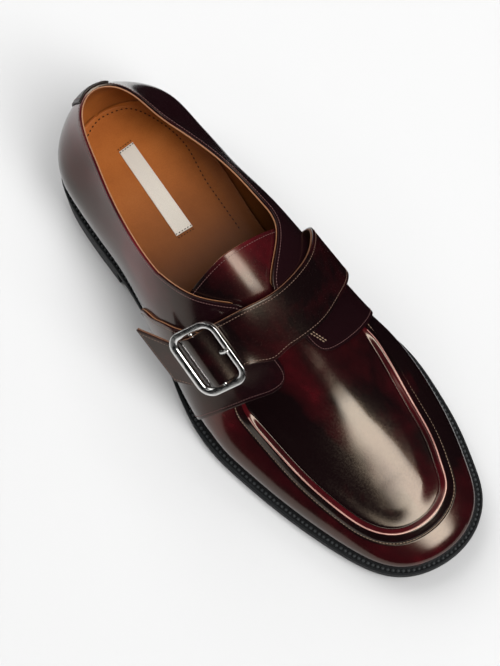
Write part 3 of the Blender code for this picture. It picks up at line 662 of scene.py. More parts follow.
def welt_profile(turn):
    """From under the upper outward, up the edge and back over the channel."""
    reach = float(welt_reach(turn))
    base = float(sole_rise(foot_y(turn))) + OUTSOLE + GAP
    lip = 4.0 if reach > NARROW_WELT else 0.35 + reach * 0.5
    rows = [(-3.0, 0.0), (reach - 0.3, 0.0), (reach - 0.05, 0.3), (reach, 0.8), (reach, 2.1),
            (reach - 0.12, 2.6), (reach - 0.5, 2.95), (reach - 1.0, 3.02), (lip + 0.5, 3.02),
            (lip + 0.2, 2.9), (lip, 2.4), (lip - 0.4, 2.15), (lip - 1.6, 2.1), (lip - 2.3, 2.15),
            (lip * 0.3, 2.45), (-1.2, 2.55), (-3.0, 2.55)]
    return [(a, base + b) for a, b in rows]


def ring_faces(rings, count):
    """Faces of a closed section of that many points, carried round the shoe."""
    return [(i * count + j, (i + 1) % rings * count + j, (i + 1) % rings * count + (j + 1) % count,
             i * count + (j + 1) % count) for i in range(rings) for j in range(count)]


welt_ring = section_ring(welt_profile, WELT_RINGS)
finish_piece("welt_strip", welt_ring.reshape(-1, 3), ring_faces(WELT_RINGS, welt_ring.shape[1]), [edge_ink],
             ["welt"], 50.0)

welt_thread = thread_of("waxed_black_thread", (0.034, 0.037, 0.038), 0.45, Specular_IOR_Level=0.3)
seam_turns = np.linspace(0, 2 * math.pi, 1441)[:-1]
seam_reach = np.where(welt_reach(seam_turns) > NARROW_WELT, 2.85, 0.2 + welt_reach(seam_turns) * 0.33)
welt_seam = level_path(outline(seam_turns, seam_reach), sole_rise(foot_y(seam_turns)) + WELT_TOP - 0.45)
sew("welt_stitches", [welt_seam], welt_thread, WELT_STITCH_PITCH, 1.75, 1.75, 0.0, closed=True)


# ---------------------------------------------------------------------------------------------
# Insole sock
# Natural tan leather glued over the insole, its edge turned up a little where it meets the
# lining. It carries a plain woven cream patch, sewn down at its two ends.

INSOLE = 5.6
SOCK_HEIGHT = OUTSOLE + GAP + INSOLE + GAP
SOCK_COLUMNS = 28
SOCK_INSET = 2.0
SOCK_DIP = 0.5                       # how far its middle lies below its edges
SOCK_HALF = 33.0                     # half its width, for the height under the patch and the seam
SOCK_THICK = 3.0                     # it reaches down to the insole that it replaces
PATCH_CORNERS = np.array([(-6.3, 26.1), (2.7, 26.1), (5.6, 81.4), (-4.2, 82.2)])
PATCH_THICK = 0.45
# The seam round the heel and along the inner side: x, y
SOCK_SEAM = np.array([
    (24.0, 30.0), (17.0, 14.5), (8.0, 7.5), (0.0, 5.2), (-8.0, 6.4), (-15.0, 9.4), (-20.0, 15.5),
    (-24.0, 25.0), (-27.0, 36.0), (-27.6, 46.0), (-26.0, 57.0), (-24.6, 66.0), (-24.0, 76.0), (-23.6, 86.0),
    (-23.2, 97.0),
])
COLOUR_A, COLOUR_B, COLOUR_RESULT = 6, 7, 2    # the colour sockets of a Mix node


def mix_colours(material, share, first, second, blend="MIX"):
    """Two colours blended; share is a number or an output."""
    node = add_node(material, "ShaderNodeMix", [(0, share), (COLOUR_A, first), (COLOUR_B, second)],
                    data_type="RGBA", blend_type=blend)
    return node.outputs[COLOUR_RESULT]


def lining_leather(name, dark, middle, light):
    """Undyed lining leather: cloudy, with a fine grain, and painted shade towards the front, where it goes
    under the tongue.
    """
    material = material_of(name, middle, 0.5, Specular_IOR_Level=0.15)
    clouds = speckle(material, 38.0, 5.0, roughness=0.6)
    grain = speckle(material, 1500.0, 3.0)
    tint = colour_ramp(material, clouds, [(0.28, dark), (0.5, middle), (0.74, light)])
    pores = colour_ramp(material, grain, [(0.35, (0.90, 0.88, 0.86)), (0.62, (1.0, 1.0, 1.0))])
    tint = mix_colours(material, 1.0, tint, pores, "MULTIPLY")
    place = add_node(material, "ShaderNodeTexCoord").outputs["Object"]
    along = add_node(material, "ShaderNodeSeparateXYZ", [(0, place)])
    # Painted shade: the colour darkens along the shoe towards the front, where the tongue and the apron cover
    # the inside.
    tongue_shade_share = spread(material, along.outputs["Y"], -0.115, -0.040, 0.0, 0.92)
    painted_shade_colour = (*(0.14 * value for value in dark), 1.0)
    link(material, mix_colours(material, tongue_shade_share, tint, painted_shade_colour), "Base Color")
    link(material, spread(material, grain, 0.3, 0.7, 0.44, 0.60), "Roughness")
    relief(material, grain, 0.05)
    return material


sock_leather = lining_leather("tan_sock_leather", (0.31, 0.088, 0.015), (0.38, 0.112, 0.020),
                              (0.43, 0.134, 0.027))

sock_turns = np.linspace(0.0, math.pi, 181)[1:-1]
inner_side = outline(-sock_turns, -SOCK_INSET)
outer_side = outline(sock_turns, -SOCK_INSET)
sock_across = -np.cos(np.linspace(0, math.pi, SOCK_COLUMNS + 1))
sock_plan = inner_side[:, None] + (outer_side - inner_side)[:, None] * (1 + sock_across[:, None]) / 2
turned_up = 2.2 * ease(np.abs(sock_across), 0.80, 1.0) ** 1.5 - SOCK_DIP * (1 - sock_across ** 2)
sock_z = sole_rise(foot_y(sock_turns))[:, None] + SOCK_HEIGHT + turned_up
sock_top = np.concatenate([sock_plan, sock_z[..., None]], -1)


def round_edges(piece, width):
    """Round the sharp edges of a piece's mesh."""
    rounding = piece.modifiers.new("rounded_rim", "BEVEL")
    rounding.width = width * MM
    rounding.segments = 3
    rounding.limit_method = "ANGLE"
    rounding.angle_limit = math.radians(50)
    rounding.use_clamp_overlap = True
    made = bpy.data.meshes.new_from_object(piece.evaluated_get(bpy.context.evaluated_depsgraph_get()))
    piece.modifiers.clear()
    plain = piece.data
    piece.data = made
    bpy.data.meshes.remove(plain)
    made.shade_smooth()
    made.set_sharp_from_angle(angle=math.radians(40))


def solid_sheet(name, top, bottom, materials, nodes=(), bevel=0.0, burnish_and_painted_light=None, joined=False):
    """A sheet between two grids, closed round its rim.

    Its underside and rim take the last of its materials. A joined sheet has no rim along the last
    column, where its two halves meet.
    """
    rows, columns = top.shape[:2]
    lift = rows * columns
    number = np.arange(lift).reshape(rows, columns)
    quads = np.stack([number[:-1, :-1], number[1:, :-1], number[1:, 1:], number[:-1, 1:]], -1).reshape(-1, 4)
    rim = list(number[0, ::-1]) + list(number[1:, 0]) + list(number[-1, 1:])
    if not joined:
        rim += list(number[-2::-1, -1])
    faces = [tuple(quad) for quad in quads] + [tuple(lift + quad[::-1]) for quad in quads]
    faces += [(b, a, lift + a, lift + b) for a, b in zip(rim, rim[1:])]
    faced = [0] * len(quads) + [len(materials) - 1] * (len(faces) - len(quads))
    points = np.concatenate([top.reshape(-1, 3), bottom.reshape(-1, 3)])
    if burnish_and_painted_light is not None:
        burnish_and_painted_light = np.tile(np.broadcast_to(burnish_and_painted_light, (rows, columns)).ravel(), 2)
    piece = finish_piece(name, points, faces, materials, nodes, faced=faced, burnish_and_painted_light=burnish_and_painted_light)
    if bevel:
        round_edges(piece, bevel)


solid_sheet("insole_sock", sock_top, sock_top - [0, 0, SOCK_THICK], [sock_leather], ["insole"])

patch_cloth = material_of("cream_woven_patch", (0.86, 0.81, 0.72), 0.85, Specular_IOR_Level=0.2,
                          Sheen_Weight=0.25, Sheen_Roughness=0.4)
patch_place = add_node(patch_cloth, "ShaderNodeTexCoord").outputs["Object"]
warp, weft = (add_node(patch_cloth, "ShaderNodeTexWave",
                       [("Vector", patch_place), ("Scale", 620.0), ("Distortion", 0.6)],
                       bands_direction=direction).outputs["Fac"] for direction in "XY")
weave = calculate(patch_cloth, "MULTIPLY", warp, weft)
link(patch_cloth, colour_ramp(patch_cloth, weave, [(0.0, (0.56, 0.50, 0.42)), (0.5, (0.86, 0.81, 0.73))]),
     "Base Color")
relief(patch_cloth, weave, 0.12)


def on_patch(along, across):
    """Places in plan on the patch, by shares of its length and of its width."""
    along, across = (np.asarray(share, float)[..., None] for share in (along, across))
    heel_left, heel_right, toe_right, toe_left = PATCH_CORNERS
    return ((1 - along) * ((1 - across) * heel_left + across * heel_right)
            + along * ((1 - across) * toe_left + across * toe_right))


def sock_height_at(plan):
    """Height of the sock's top under points in plan, on its flat middle."""
    return sole_rise(plan[..., 1]) + SOCK_HEIGHT - SOCK_DIP * (1 - (plan[..., 0] / SOCK_HALF) ** 2)


patch_plan = on_patch(np.linspace(0, 1, 49)[:, None], np.linspace(0, 1, 13)[None, :])
patch_low = np.concatenate([patch_plan, sock_height_at(patch_plan)[..., None]], -1)
solid_sheet("woven_patch", patch_low + [0, 0, PATCH_THICK + 0.15], patch_low - [0, 0, 0.2], [patch_cloth],
            bevel=0.12)

# A row of stitches beyond each end of the patch and one on it
tan_thread = thread_of("brown_thread", (0.035, 0.014, 0.006), 0.7, Specular_IOR_Level=0.1)
patch_rows = []
for along, height in ((1.024, 0.1), (-0.024, 0.1), (0.985, PATCH_THICK + 0.2), (0.015, PATCH_THICK + 0.2)):
    row = on_patch(along, np.linspace(0.06, 0.94, 12))
    patch_rows.append(level_path(row, sock_height_at(row) + height))
sew("patch_stitches", patch_rows, tan_thread, 1.5, 0.95, 0.6, 0.05)

seam_walk = walked(SOCK_SEAM)
seam_at = np.linspace(0, seam_walk[-1], 160)
seam_plan = np.stack([smooth_curve(seam_walk, SOCK_SEAM[:, k])(seam_at) for k in (0, 1)], -1)
sew("sock_stitches", [level_path(seam_plan, sock_height_at(seam_plan) + 0.1)], tan_thread,
    2.6, 1.4, 0.75, 0.1)


# ---------------------------------------------------------------------------------------------
# Lining
# Tan calf lining that reaches from the feather to the collar and stops short of the crown, where
# the tongue and the apron hide it. Its raw upper edge shows as a light line inside the topline.

COLLAR_FRONT, THROAT_FRONT = 104.0, 154.0
LINING_RIBS, LINING_ROWS = 560, 54
LINING_FOOT = 0.012                  # share of the rib where it starts


def edge_share(turn):
    """Share of a rib at which the upper ends: the collar, the facing or, where closed, the crown."""
    y = foot_y(turn)
    shut = np.clip(throat_closed(turn), 0.0, 1.0)
    shut = np.where(y > THROAT_FRONT, 1.0, np.where(y < COLLAR_FRONT, 0.0, shut))
    shoulder, length = read_ring(RIB_SHOULDER, turn), read_ring(RIB_LENGTH, turn)
    return (shoulder + shut * (length - shoulder)) / length


lining_tan = lining_leather("tan_lining_leather", (0.24, 0.070, 0.014), (0.32, 0.098, 0.020),
                            (0.37, 0.120, 0.028))
raw_edge = material_of("raw_leather_edge", (0.27, 0.12, 0.055), 0.6, Specular_IOR_Level=0.3)
raw_fibres = speckle(raw_edge, 2600.0, 4.0)
link(raw_edge, colour_ramp(raw_edge, raw_fibres, [(0.3, (0.19, 0.080, 0.032)), (0.7, (0.33, 0.16, 0.080))]),
     "Base Color")
relief(raw_edge, raw_fibres, 0.08)

lining_turns = 2 * math.pi * np.arange(LINING_RIBS) / LINING_RIBS
lining_top = np.minimum(edge_share(lining_turns), np.where(lining_turns < math.pi, 0.86, 0.92))
lining_rows = np.linspace(0.0, 1.0, LINING_ROWS) ** 0.9
lining_depth = 1.32 + 0.78 * ease(foot_y(lining_turns), 125.0, 150.0)
lining_shares = LINING_FOOT + (lining_top[:, None] - LINING_FOOT) * lining_rows[None, :]
lining_thick = 1.1 - 0.45 * ease(lining_rows, 0.85, 1.0)
lining_out, lining_normals = on_last(lining_turns[:, None], lining_shares, -lining_depth[:, None])
lining_in = lining_out - lining_normals * lining_thick[None, :, None]
lining_ring = np.concatenate([lining_out, lining_in[:, ::-1]], 1)
is_edge = np.arange(2 * LINING_ROWS) == LINING_ROWS - 1
finish_piece("tan_lining", lining_ring.reshape(-1, 3), ring_faces(LINING_RIBS, 2 * LINING_ROWS),
             [lining_tan, raw_edge], faced=np.tile(is_edge, LINING_RIBS))


# ---------------------------------------------------------------------------------------------
# Vamp and apron
# The wall is pulled round the toe and joined to the apron by a rolled, hand-sewn seam that
# stands 2.3 mm proud in a long U. Burgundy leather brushed with black, then polished hard.

VAMP_BACK = 158.0
VAMP_THICK = 1.15
FLAP_SINK = 0.85                     # how far the vamp lies down under the quarters' flaps
RIDGE_STARTS, RIDGE_FULL = 175.0, 192.0
VAMP_COLUMNS, WALL_ROWS, ROLL_ROWS, APRON_ROWS = 431, 20, 62, 31
# distance past the crest of the roll, height
ROLL = [
    (-7.0, 0.0), (-6.2, -0.03), (-5.6, -0.25), (-5.35, -0.3), (-5.05, 0.1), (-4.6, 0.85), (-4.0, 1.25),
    (-3.0, 1.6), (-2.0, 1.9), (-1.0, 2.2), (-0.45, 2.3), (0.0, 2.28), (0.5, 2.05), (1.1, 1.45),
    (1.7, 0.65), (2.2, 0.0), (2.55, -0.28), (3.0, -0.14), (3.8, 0.0), (4.4, 0.0),
]
ROLL_BACK, ROLL_FRONT = ROLL[0][0], ROLL[-1][0]
SWELL = 22.0                         # height of the leather's soft waves, in heights of its grain


def polished_leather(name, red, dark, roughness=0.17, shine=1.0):
    """Brushed-off leather: a red ground under a black top coat, waxed to a high shine.

    The black-share attribute says how much of the black was left on, and also carries painted light and
    shade; below zero the colour turns pale pink, a painted highlight that also stands for wear.
    """
    material = material_of(name, red, roughness, Coat_Weight=0.27 * shine, Coat_Roughness=0.05, Coat_IOR=1.5,
                           Specular_IOR_Level=0.5 * shine, Specular_Tint=(1.0, 0.79, 0.57, 1.0))
    burnish_and_painted_light = add_node(material, "ShaderNodeAttribute", attribute_name="burnish_and_painted_light").outputs["Fac"]
    clouds = spread(material, speckle(material, 26.0, 4.0, roughness=0.55), 0.3, 0.7, -0.22, 0.22)
    streaks = spread(material, speckle(material, 220.0, 5.0, (1.0, 0.3, 1.0)), 0.3, 0.7, -0.06, 0.06)
    black = calculate(material, "ADD", streaks, calculate(material, "ADD", clouds, burnish_and_painted_light))
    middle = tuple(0.3 * a + 0.7 * b for a, b in zip(red, dark))
    # The palest, pink shade below the red is a painted highlight, used along the roll's crest, where it also
    # stands for wear.
    shades = [(0.2, (0.40, 0.23, 0.19)), (0.45, red), (0.575, red), (0.75, middle), (0.925, dark)]
    link(material, colour_ramp(material, spread(material, black, -1.0, 1.0, 0.0, 1.0), shades), "Base Color")
    grain = speckle(material, 1150.0, 3.0)
    link(material, spread(material, grain, 0.3, 0.7, roughness - 0.04, roughness + 0.06), "Roughness")
    swells = spread(material, speckle(material, 55.0, 1.0), 0.0, 1.0, 0.0, SWELL)
    relief(material, calculate(material, "ADD", swells, grain), 0.012)
    return material


burgundy = polished_leather("burnished_burgundy_leather", (0.072, 0.0042, 0.0070), (0.0045, 0.0018, 0.0022))


def crest_of_roll(turn):
    """Distance up the rib to the crest of the roll, which leaves the shoulder under the flaps."""
    forward = ease(foot_y(turn), 150.0, 182.0)
    return forward * read_ring(RIB_SHOULDER, turn) + (1 - forward) * 0.72 * read_ring(RIB_LENGTH, turn)


def sink_of_vamp(turn):
    return FLAP_SINK * (1 - ease(foot_y(turn), 172.0, 190.0))


def tucked_in(turns, points, normals):
    """The same sheet with a first row that is pulled in under the foot, into the welt's seam."""
    tuck = np.concatenate([outline(turns, -0.5), (points[:, 0, 2] - 0.7)[:, None]], 1)
    return np.concatenate([tuck[:, None], points], 1), np.concatenate([normals[:, :1], normals], 1)


vamp_start = float(turn_at(1, VAMP_BACK))
vamp_turns = np.linspace(vamp_start, 2 * math.pi - vamp_start, VAMP_COLUMNS)
vamp_y = foot_y(vamp_turns)
vamp_length = read_ring(RIB_LENGTH, vamp_turns)[:, None]
crest_at = crest_of_roll(vamp_turns)[:, None]
roll_rows = np.linspace(ROLL_BACK, ROLL_FRONT, ROLL_ROWS)
distances = np.concatenate([
    np.linspace(0, 1, WALL_ROWS + 1)[:-1] * (crest_at + ROLL_BACK),
    crest_at + roll_rows,
    crest_at + ROLL_FRONT + np.linspace(0, 1, APRON_ROWS + 1)[1:] * (vamp_length - crest_at - ROLL_FRONT)], 1)
roll_scale = ease(vamp_y, RIDGE_STARTS, RIDGE_FULL)[:, None]
vamp_lift = np.repeat(-sink_of_vamp(vamp_turns)[:, None], distances.shape[1], axis=1)
vamp_lift[:, WALL_ROWS:-APRON_ROWS] += column_of(ROLL, 1)(roll_rows) * roll_scale
vamp_points, vamp_normals = on_last(vamp_turns[:, None], distances / vamp_length, vamp_lift)

# The roll's outer face and most of the apron are burnished nearly black, the wall less; on the inner
# side the wall is blacker towards the heel, a painted shade. The roll's crest is painted pale pink, a
# painted highlight that also stands for wear, and a band along the apron's outer half is painted red
# beside its highlight, a painted glow over the leather's own brushed-off red.
past_crest = distances - crest_at
across_apron = np.clip(past_crest / (vamp_length - crest_at), 0, 1)
outer_half = (vamp_turns < math.pi)[:, None]
painted_red_glow = ease(across_apron, 0.45, 0.75) - ease(across_apron, 0.78, 1.0)
painted_red_glow *= 1 - ease(vamp_points[..., 1], 205.0, 234.0)
apron_burnish_and_glow = np.where(outer_half, 0.94 - 0.20 * ease(across_apron, 0.5, 0.9) - 0.25 * painted_red_glow, 0.68)
wall_burnish_and_shade = np.where(outer_half, 0.58, 0.62 + 0.28 * (1 - ease(vamp_y, 236.0, 276.0))[:, None])
on_crest = (np.abs(past_crest) < 0.32) & (roll_scale > 0.4)
vamp_burnish_and_light = np.select([on_crest, past_crest < -6.5, past_crest < -0.3, past_crest > 2.3],
                         [-0.55, wall_burnish_and_shade, 0.85, apron_burnish_and_glow], 0.40)
vamp_points, vamp_normals = tucked_in(vamp_turns, vamp_points, vamp_normals)
solid_sheet("vamp_and_apron", vamp_points, vamp_points - vamp_normals * VAMP_THICK, [burgundy],
            burnish_and_painted_light=np.concatenate([vamp_burnish_and_light[:, :1], vamp_burnish_and_light], 1), joined=True)


# ---------------------------------------------------------------------------------------------
# Quarters
# Two sides cut in one with their front flaps, which cover the back of the apron. They leave
# the throat open over the tongue and are stitched 2 mm inside their edges.

QUARTER_THICK = 1.3
QUARTER_LIFT = 0.6
# y and share of the rib: from the throat along the flap's inner edge, round its corner and down its
# front edge
OUTER_FLAP = [
    (158, 0.885), (166, 0.868), (173, 0.862), (178, 0.850), (181, 0.820), (182.6, 0.780), (182.8, 0.740),
    (181.8, 0.680), (179.6, 0.610), (177, 0.520), (174, 0.420), (169.5, 0.280), (165, 0.140), (161, 0.0),
]
INNER_FLAP = [
    (158, 0.955), (166, 0.950), (173, 0.943), (178, 0.928), (181.5, 0.900), (183.8, 0.850), (184.6, 0.780),
    (184.4, 0.700), (183.2, 0.580), (181, 0.450), (177, 0.300), (171.5, 0.150), (166, 0.0),
]
CORNER_ROW = 4                       # the row where the edge turns from inner to front
RIB_SPAN = 110.0                     # about the length of a rib, to measure along the edges
QUARTER_COLUMNS, QUARTER_ROWS = 260, 80


def quarter_lift(y):
    return QUARTER_LIFT * ease(y, 118.0, 150.0)


def quarter_border(side):
    """The upper edge and the front edge of one side in (turn, share), as functions of 0 to 1."""
    flap = OUTER_FLAP if side > 0 else INNER_FLAP
    stations = np.append(np.linspace(FOOT_BACK, 140.0, 60), 144.0)
    top = list(zip(stations, edge_share(turn_at(side, stations)))) + flap[:CORNER_ROW + 1]
    for border in (top, flap[CORNER_ROW:][::-1]):
        border = np.array(border, float)
        along = walked(border * [1.0, RIB_SPAN])
        along /= along[-1]
        yield smooth_curve(along, turn_at(side, border[:, 0])), smooth_curve(along, border[:, 1])


def quarter_map(side):
    """Turns and shares of a grid that fills one side from the heel to the flap's edge."""
    s, r = np.linspace(0, 1, QUARTER_COLUMNS)[:, None], np.linspace(0, 1, QUARTER_ROWS)[None, :]
    (top_turn, top_share), (front_turn, front_share) = quarter_border(side)
    turns = r * (top_turn(s) - s * front_turn(1.0)) + s * front_turn(r) + (1 - r) * (1 - s) * top_turn(0.0)
    shares = r * (top_share(s) - s * front_share(1.0)) + s * front_share(r)
    return turns, shares


side_maps = {side: quarter_map(side) for side in (1, -1)}
inner_turns, inner_shares = side_maps[-1]
outer_turns, outer_shares = side_maps[1]
quarter_turn = np.concatenate([inner_turns[::-1] - 2 * math.pi, outer_turns[1:]])
quarter_share = np.concatenate([inner_shares[::-1], outer_shares[1:]])
quarter_points, quarter_normals = tucked_in(quarter_turn[:, 0], *on_last(
    quarter_turn, quarter_share, quarter_lift(foot_y(quarter_turn))))

# The outer side is painted red in a band halfway up, from the heel to the waist: a painted sheen, with the
# top and bottom left dark
quarter_painted_sheen = ease(quarter_share, 0.1, 0.35) * (1 - ease(quarter_share, 0.5, 0.75)) * (quarter_turn > 0)
quarter_burnish_and_sheen = 0.95 - 0.55 * quarter_painted_sheen * (1 - ease(foot_y(quarter_turn), 96.0, 130.0))
quarter_leather = polished_leather("burnished_burgundy_quarters", (0.085, 0.0060, 0.0105),
                                   (0.0085, 0.0024, 0.0034), shine=0.70)
solid_sheet("quarters", quarter_points, quarter_points - quarter_normals * QUARTER_THICK, [quarter_leather],
            ["upper"], bevel=0.32,
            burnish_and_painted_light=np.concatenate([quarter_burnish_and_sheen[:, :1], quarter_burnish_and_sheen], 1))


# ---------------------------------------------------------------------------------------------
# Topline and flap stitching
# One row of fine thread follows the collar, the facings and the flaps. The inner flap ends in a
# short bar of stitches that takes the pull of the foot.

EDGE_MARGIN = 2.0
THREAD_ABOVE = 0.02                  # a row's path lies this far above the leather
FLAP_BAR = [(171.5, 0.893), (178.5, 0.842)]                    # its ends: y, share of the rib
APRON_SEAM, APRON_SEAM_DEPTH = -5.35, 0.22                     # beside the roll's crest, in its foot


def quarter_row(side, columns, rows, above=0.0):
    """A path over the quarters' outer face, by columns and rows of a side's grid."""
    i, j = np.asarray(columns) * (QUARTER_COLUMNS - 1), np.asarray(rows) * (QUARTER_ROWS - 1)
    low_i = np.clip(np.floor(i).astype(int), 0, QUARTER_COLUMNS - 2)
    low_j = np.clip(np.floor(j).astype(int), 0, QUARTER_ROWS - 2)
    a, b = i - low_i, j - low_j
    turns, shares = ((1 - a) * (1 - b) * grid[low_i, low_j] + a * (1 - b) * grid[low_i + 1, low_j]
                     + (1 - a) * b * grid[low_i, low_j + 1] + a * b * grid[low_i + 1, low_j + 1]
                     for grid in side_maps[side])
    return on_last(turns, shares, quarter_lift(foot_y(turns)) + above)


def inset_path(side):
    """The line that runs a margin inside the upper and front edges of one side."""
    rows, columns = np.linspace(0.4, 1.0, 60), np.linspace(0.8, 1.0, 60)

    def short_of_edge(column, row, shares):
        left = walked(quarter_row(side, column, row)[0][::-1])[::-1]
        return float(np.interp(-EDGE_MARGIN, -left, shares))

    top = np.array([(column, short_of_edge(column, rows, rows)) for column in np.linspace(0.0, 1.0, 400)])
    front = np.array([(short_of_edge(columns, row, columns), row) for row in np.linspace(1.0, 0.0, 160)])
    # The two lines cross near the flap's corner; each stops there
    gap = np.abs(top[:, None] - front[None]).sum(-1)
    stop, start = np.unravel_index(np.argmin(gap), gap.shape)
    both = np.concatenate([top[:stop + 1], front[start + 1:]])
    return quarter_row(side, both[:, 0], both[:, 1], THREAD_ABOVE)


dark_thread = thread_of("dark_burgundy_thread", (0.11, 0.048, 0.044), 0.5)
gold_thread = thread_of("brown_gold_thread", (0.27, 0.185, 0.12), 0.5)
sew("edge_stitches", [inset_path(1), inset_path(-1)], dark_thread, 1.55, 1.2, 0.42, 0.06)
bar_y, bar_share = (np.linspace(*ends, 10) for ends in zip(*FLAP_BAR))
bar_rows = [on_last(turn_at(-1, bar_y), bar_share + shift, quarter_lift(bar_y) + THREAD_ABOVE)
            for shift in (0.0, 0.018)]
sew("flap_bar_stitches", bar_rows, gold_thread, 1.8, 1.6, 0.7, 0.1)

# The apron's seam is sewn through the foot of the roll
seam_start = float(turn_at(1, 176.0))
seam_turns = np.linspace(seam_start, 2 * math.pi - seam_start, 900)
seam_share = (crest_of_roll(seam_turns) + APRON_SEAM) / read_ring(RIB_LENGTH, seam_turns)
seam_depth = APRON_SEAM_DEPTH * ease(foot_y(seam_turns), RIDGE_STARTS, RIDGE_FULL) + sink_of_vamp(seam_turns)
sew("apron_stitches", [on_last(seam_turns, seam_share, -seam_depth)], gold_thread,
    1.75, 1.45, 0.45, 0.02)


# ---------------------------------------------------------------------------------------------
# Backstay
# A black strip that covers the join of the two quarters up the back of the heel. It stands a
# little proud at the collar and is stitched down both sides.

BACKSTAY_THICK = 1.2
BACKSTAY_ABOVE = 0.05
BACKSTAY_SEAMS = [-0.78, 0.78]       # shares of its half width

strip_rise = np.linspace(0.03, 1.012, 60)[:, None]
strip_half = 0.10 + 0.04 * np.clip(strip_rise, 0, 1)
strip_turns = strip_half * np.linspace(-1.0, 1.0, 29)
strip_low, strip_up = on_last(strip_turns, strip_rise * edge_share(strip_turns), BACKSTAY_ABOVE)
black_leather = polished_leather("black_polished_leather", (0.020, 0.012, 0.013), (0.006, 0.005, 0.006),
                                 0.42, 0.3)
solid_sheet("backstay_strip", strip_low + strip_up * BACKSTAY_THICK, strip_low, [black_leather],
            ["backstay"], bevel=0.35, burnish_and_painted_light=0.8)
seam_turns = strip_half * BACKSTAY_SEAMS
seam_spots, seam_ups = on_last(seam_turns, strip_rise * edge_share(seam_turns),
                               BACKSTAY_ABOVE + BACKSTAY_THICK)
sew("backstay_stitches", [(seam_spots[:, k], seam_ups[:, k]) for k in (0, 1)], dark_thread,
    1.6, 1.2, 0.42, 0.05)


# ---------------------------------------------------------------------------------------------
# Tongue
# A shield of the same leather with a tan lining, its top edge cut straight across. It lies
# under the two facings and is sewn in with the apron.

TONGUE_ACROSS, TONGUE_ALONG = (-0.46, 0.40), (122.0, 166.0)
TONGUE_DEPTH = 3.35                  # its face lies this far inside the quarters' place
TONGUE_LEATHER, TONGUE_THICK = 1.1, 1.95
LAYER_GAP = 0.02                     # between a leather and its lining

tongue_reach = np.linspace(*TONGUE_ACROSS, 90)[:, None]
tongue_top, tongue_up = across_last(tongue_reach, np.linspace(*TONGUE_ALONG, 60), -TONGUE_DEPTH)
satin_burgundy = polished_leather("satin_burgundy_leather", (0.072, 0.0042, 0.0070), (0.0045, 0.0018, 0.0022),
                                  0.22, 0.75)
# The tongue is painted near black on its outer side, a painted shade from the outer facing, and darker again
# towards its inner edge; it keeps its red between them.
tongue_burnish_and_shade = 0.42 + 0.55 * ease(tongue_reach, -0.02, 0.26) + 0.3 * ease(-tongue_reach, 0.25, 0.45)
solid_sheet("tongue_leather", tongue_top, tongue_top - tongue_up * TONGUE_LEATHER, [satin_burgundy],
            ["tongue"], bevel=0.3, burnish_and_painted_light=tongue_burnish_and_shade)
solid_sheet("tongue_lining", tongue_top - tongue_up * (TONGUE_LEATHER + LAYER_GAP),
            tongue_top - tongue_up * TONGUE_THICK, [lining_tan, raw_edge], bevel=0.2)
tongue_seam = across_last(np.linspace(-0.43, 0.37, 80), TONGUE_ALONG[0] + EDGE_MARGIN,
                          THREAD_ABOVE - TONGUE_DEPTH)
sew("tongue_stitches", [tongue_seam], dark_thread, 1.6, 1.2, 0.4, 0.05)


# ---------------------------------------------------------------------------------------------
# Buckle
# A rounded frame with a centre bar and a prong, cast and nickel plated. The bars are chamfered
# on top. The prong comes up through the strap and rests on the inner bar.

BAR_WIDE, BAR_HIGH = 4.2, 2.8
BUCKLE_ALONG, BUCKLE_ACROSS, BUCKLE_CORNER = 31.3, 38.4, 6.2
BUCKLE_MIDDLE = np.array([35.6, 153.2, 77.2])
BUCKLE_OUTWARD, BUCKLE_BARS = np.array([0.733, -0.278, -0.62]), np.array([-0.007, 0.909, -0.416])
CENTRE_BAR, PRONG = 1.3, 1.1         # radii
CORNER_STEPS, ROUND_SIDES, PRONG_STEPS = 14, 24, 40
HALF_ALONG, HALF_ACROSS = (BUCKLE_ALONG - BAR_WIDE) / 2, (BUCKLE_ACROSS - BAR_WIDE) / 2
# The prong's middle line: distance past the centre bar, height
PRONG_LINE = [(-7.9, -3.0), (-8.6, -1.2), (-9.6, 0.6), (-10.9, 1.9), (0.9 - HALF_ALONG, 2.55),
              (-1.9 - HALF_ALONG, 2.35)]

outward = BUCKLE_OUTWARD / np.linalg.norm(BUCKLE_OUTWARD)
along_bars = BUCKLE_BARS - outward * (outward @ BUCKLE_BARS)
along_bars /= np.linalg.norm(along_bars)
off_strap = np.cross(outward, along_bars)

nickel = material_of("nickel_plate", (0.80, 0.79, 0.77), 0.12, Metallic=1.0)
nickel_haze = speckle(nickel, 500.0, 5.0)
link(nickel, spread(nickel, nickel_haze, 0.3, 0.7, 0.15, 0.27), "Roughness")
nickel_shades = [(0.3, (0.72, 0.71, 0.69)), (0.7, (0.84, 0.83, 0.81))]
link(nickel, colour_ramp(nickel, nickel_haze, nickel_shades), "Base Color")
relief(nickel, nickel_haze, 0.006)


def in_buckle(past_bar, along, height):
    """Points by their distances from the buckle's middle in its own three directions."""
    distances = np.stack(np.broadcast_arrays(past_bar, along, height), -1)
    return BUCKLE_MIDDLE + distances @ np.array([outward, along_bars, off_strap])


def tube(name, path, side, up, section, closed=False, nodes=(), angle=40.0):
    """A nickel section swept along a path; side and up are its axes, at each point or all along."""
    # Known fault: a section given for each point has its sides on the second axis, so the prong's
    # faces are laid out by the number of its points instead
    count, sides = len(path), len(section)
    side, up = (np.broadcast_to(axis, path.shape)[:, None] for axis in (side, up))
    points = (path[:, None] + side * section[..., :1] + up * section[..., 1:]).reshape(-1, 3)
    faces = []
    for i in range(count if closed else count - 1):
        ahead = (i + 1) % count
        for k in range(sides):
            after = (k + 1) % sides
            faces.append((i * sides + k, i * sides + after, ahead * sides + after, ahead * sides + k))
    if not closed:
        faces += [tuple(range(sides)), tuple((count - 1) * sides + k for k in reversed(range(sides)))]
    finish_piece(name, points, faces, [nickel], nodes, angle)


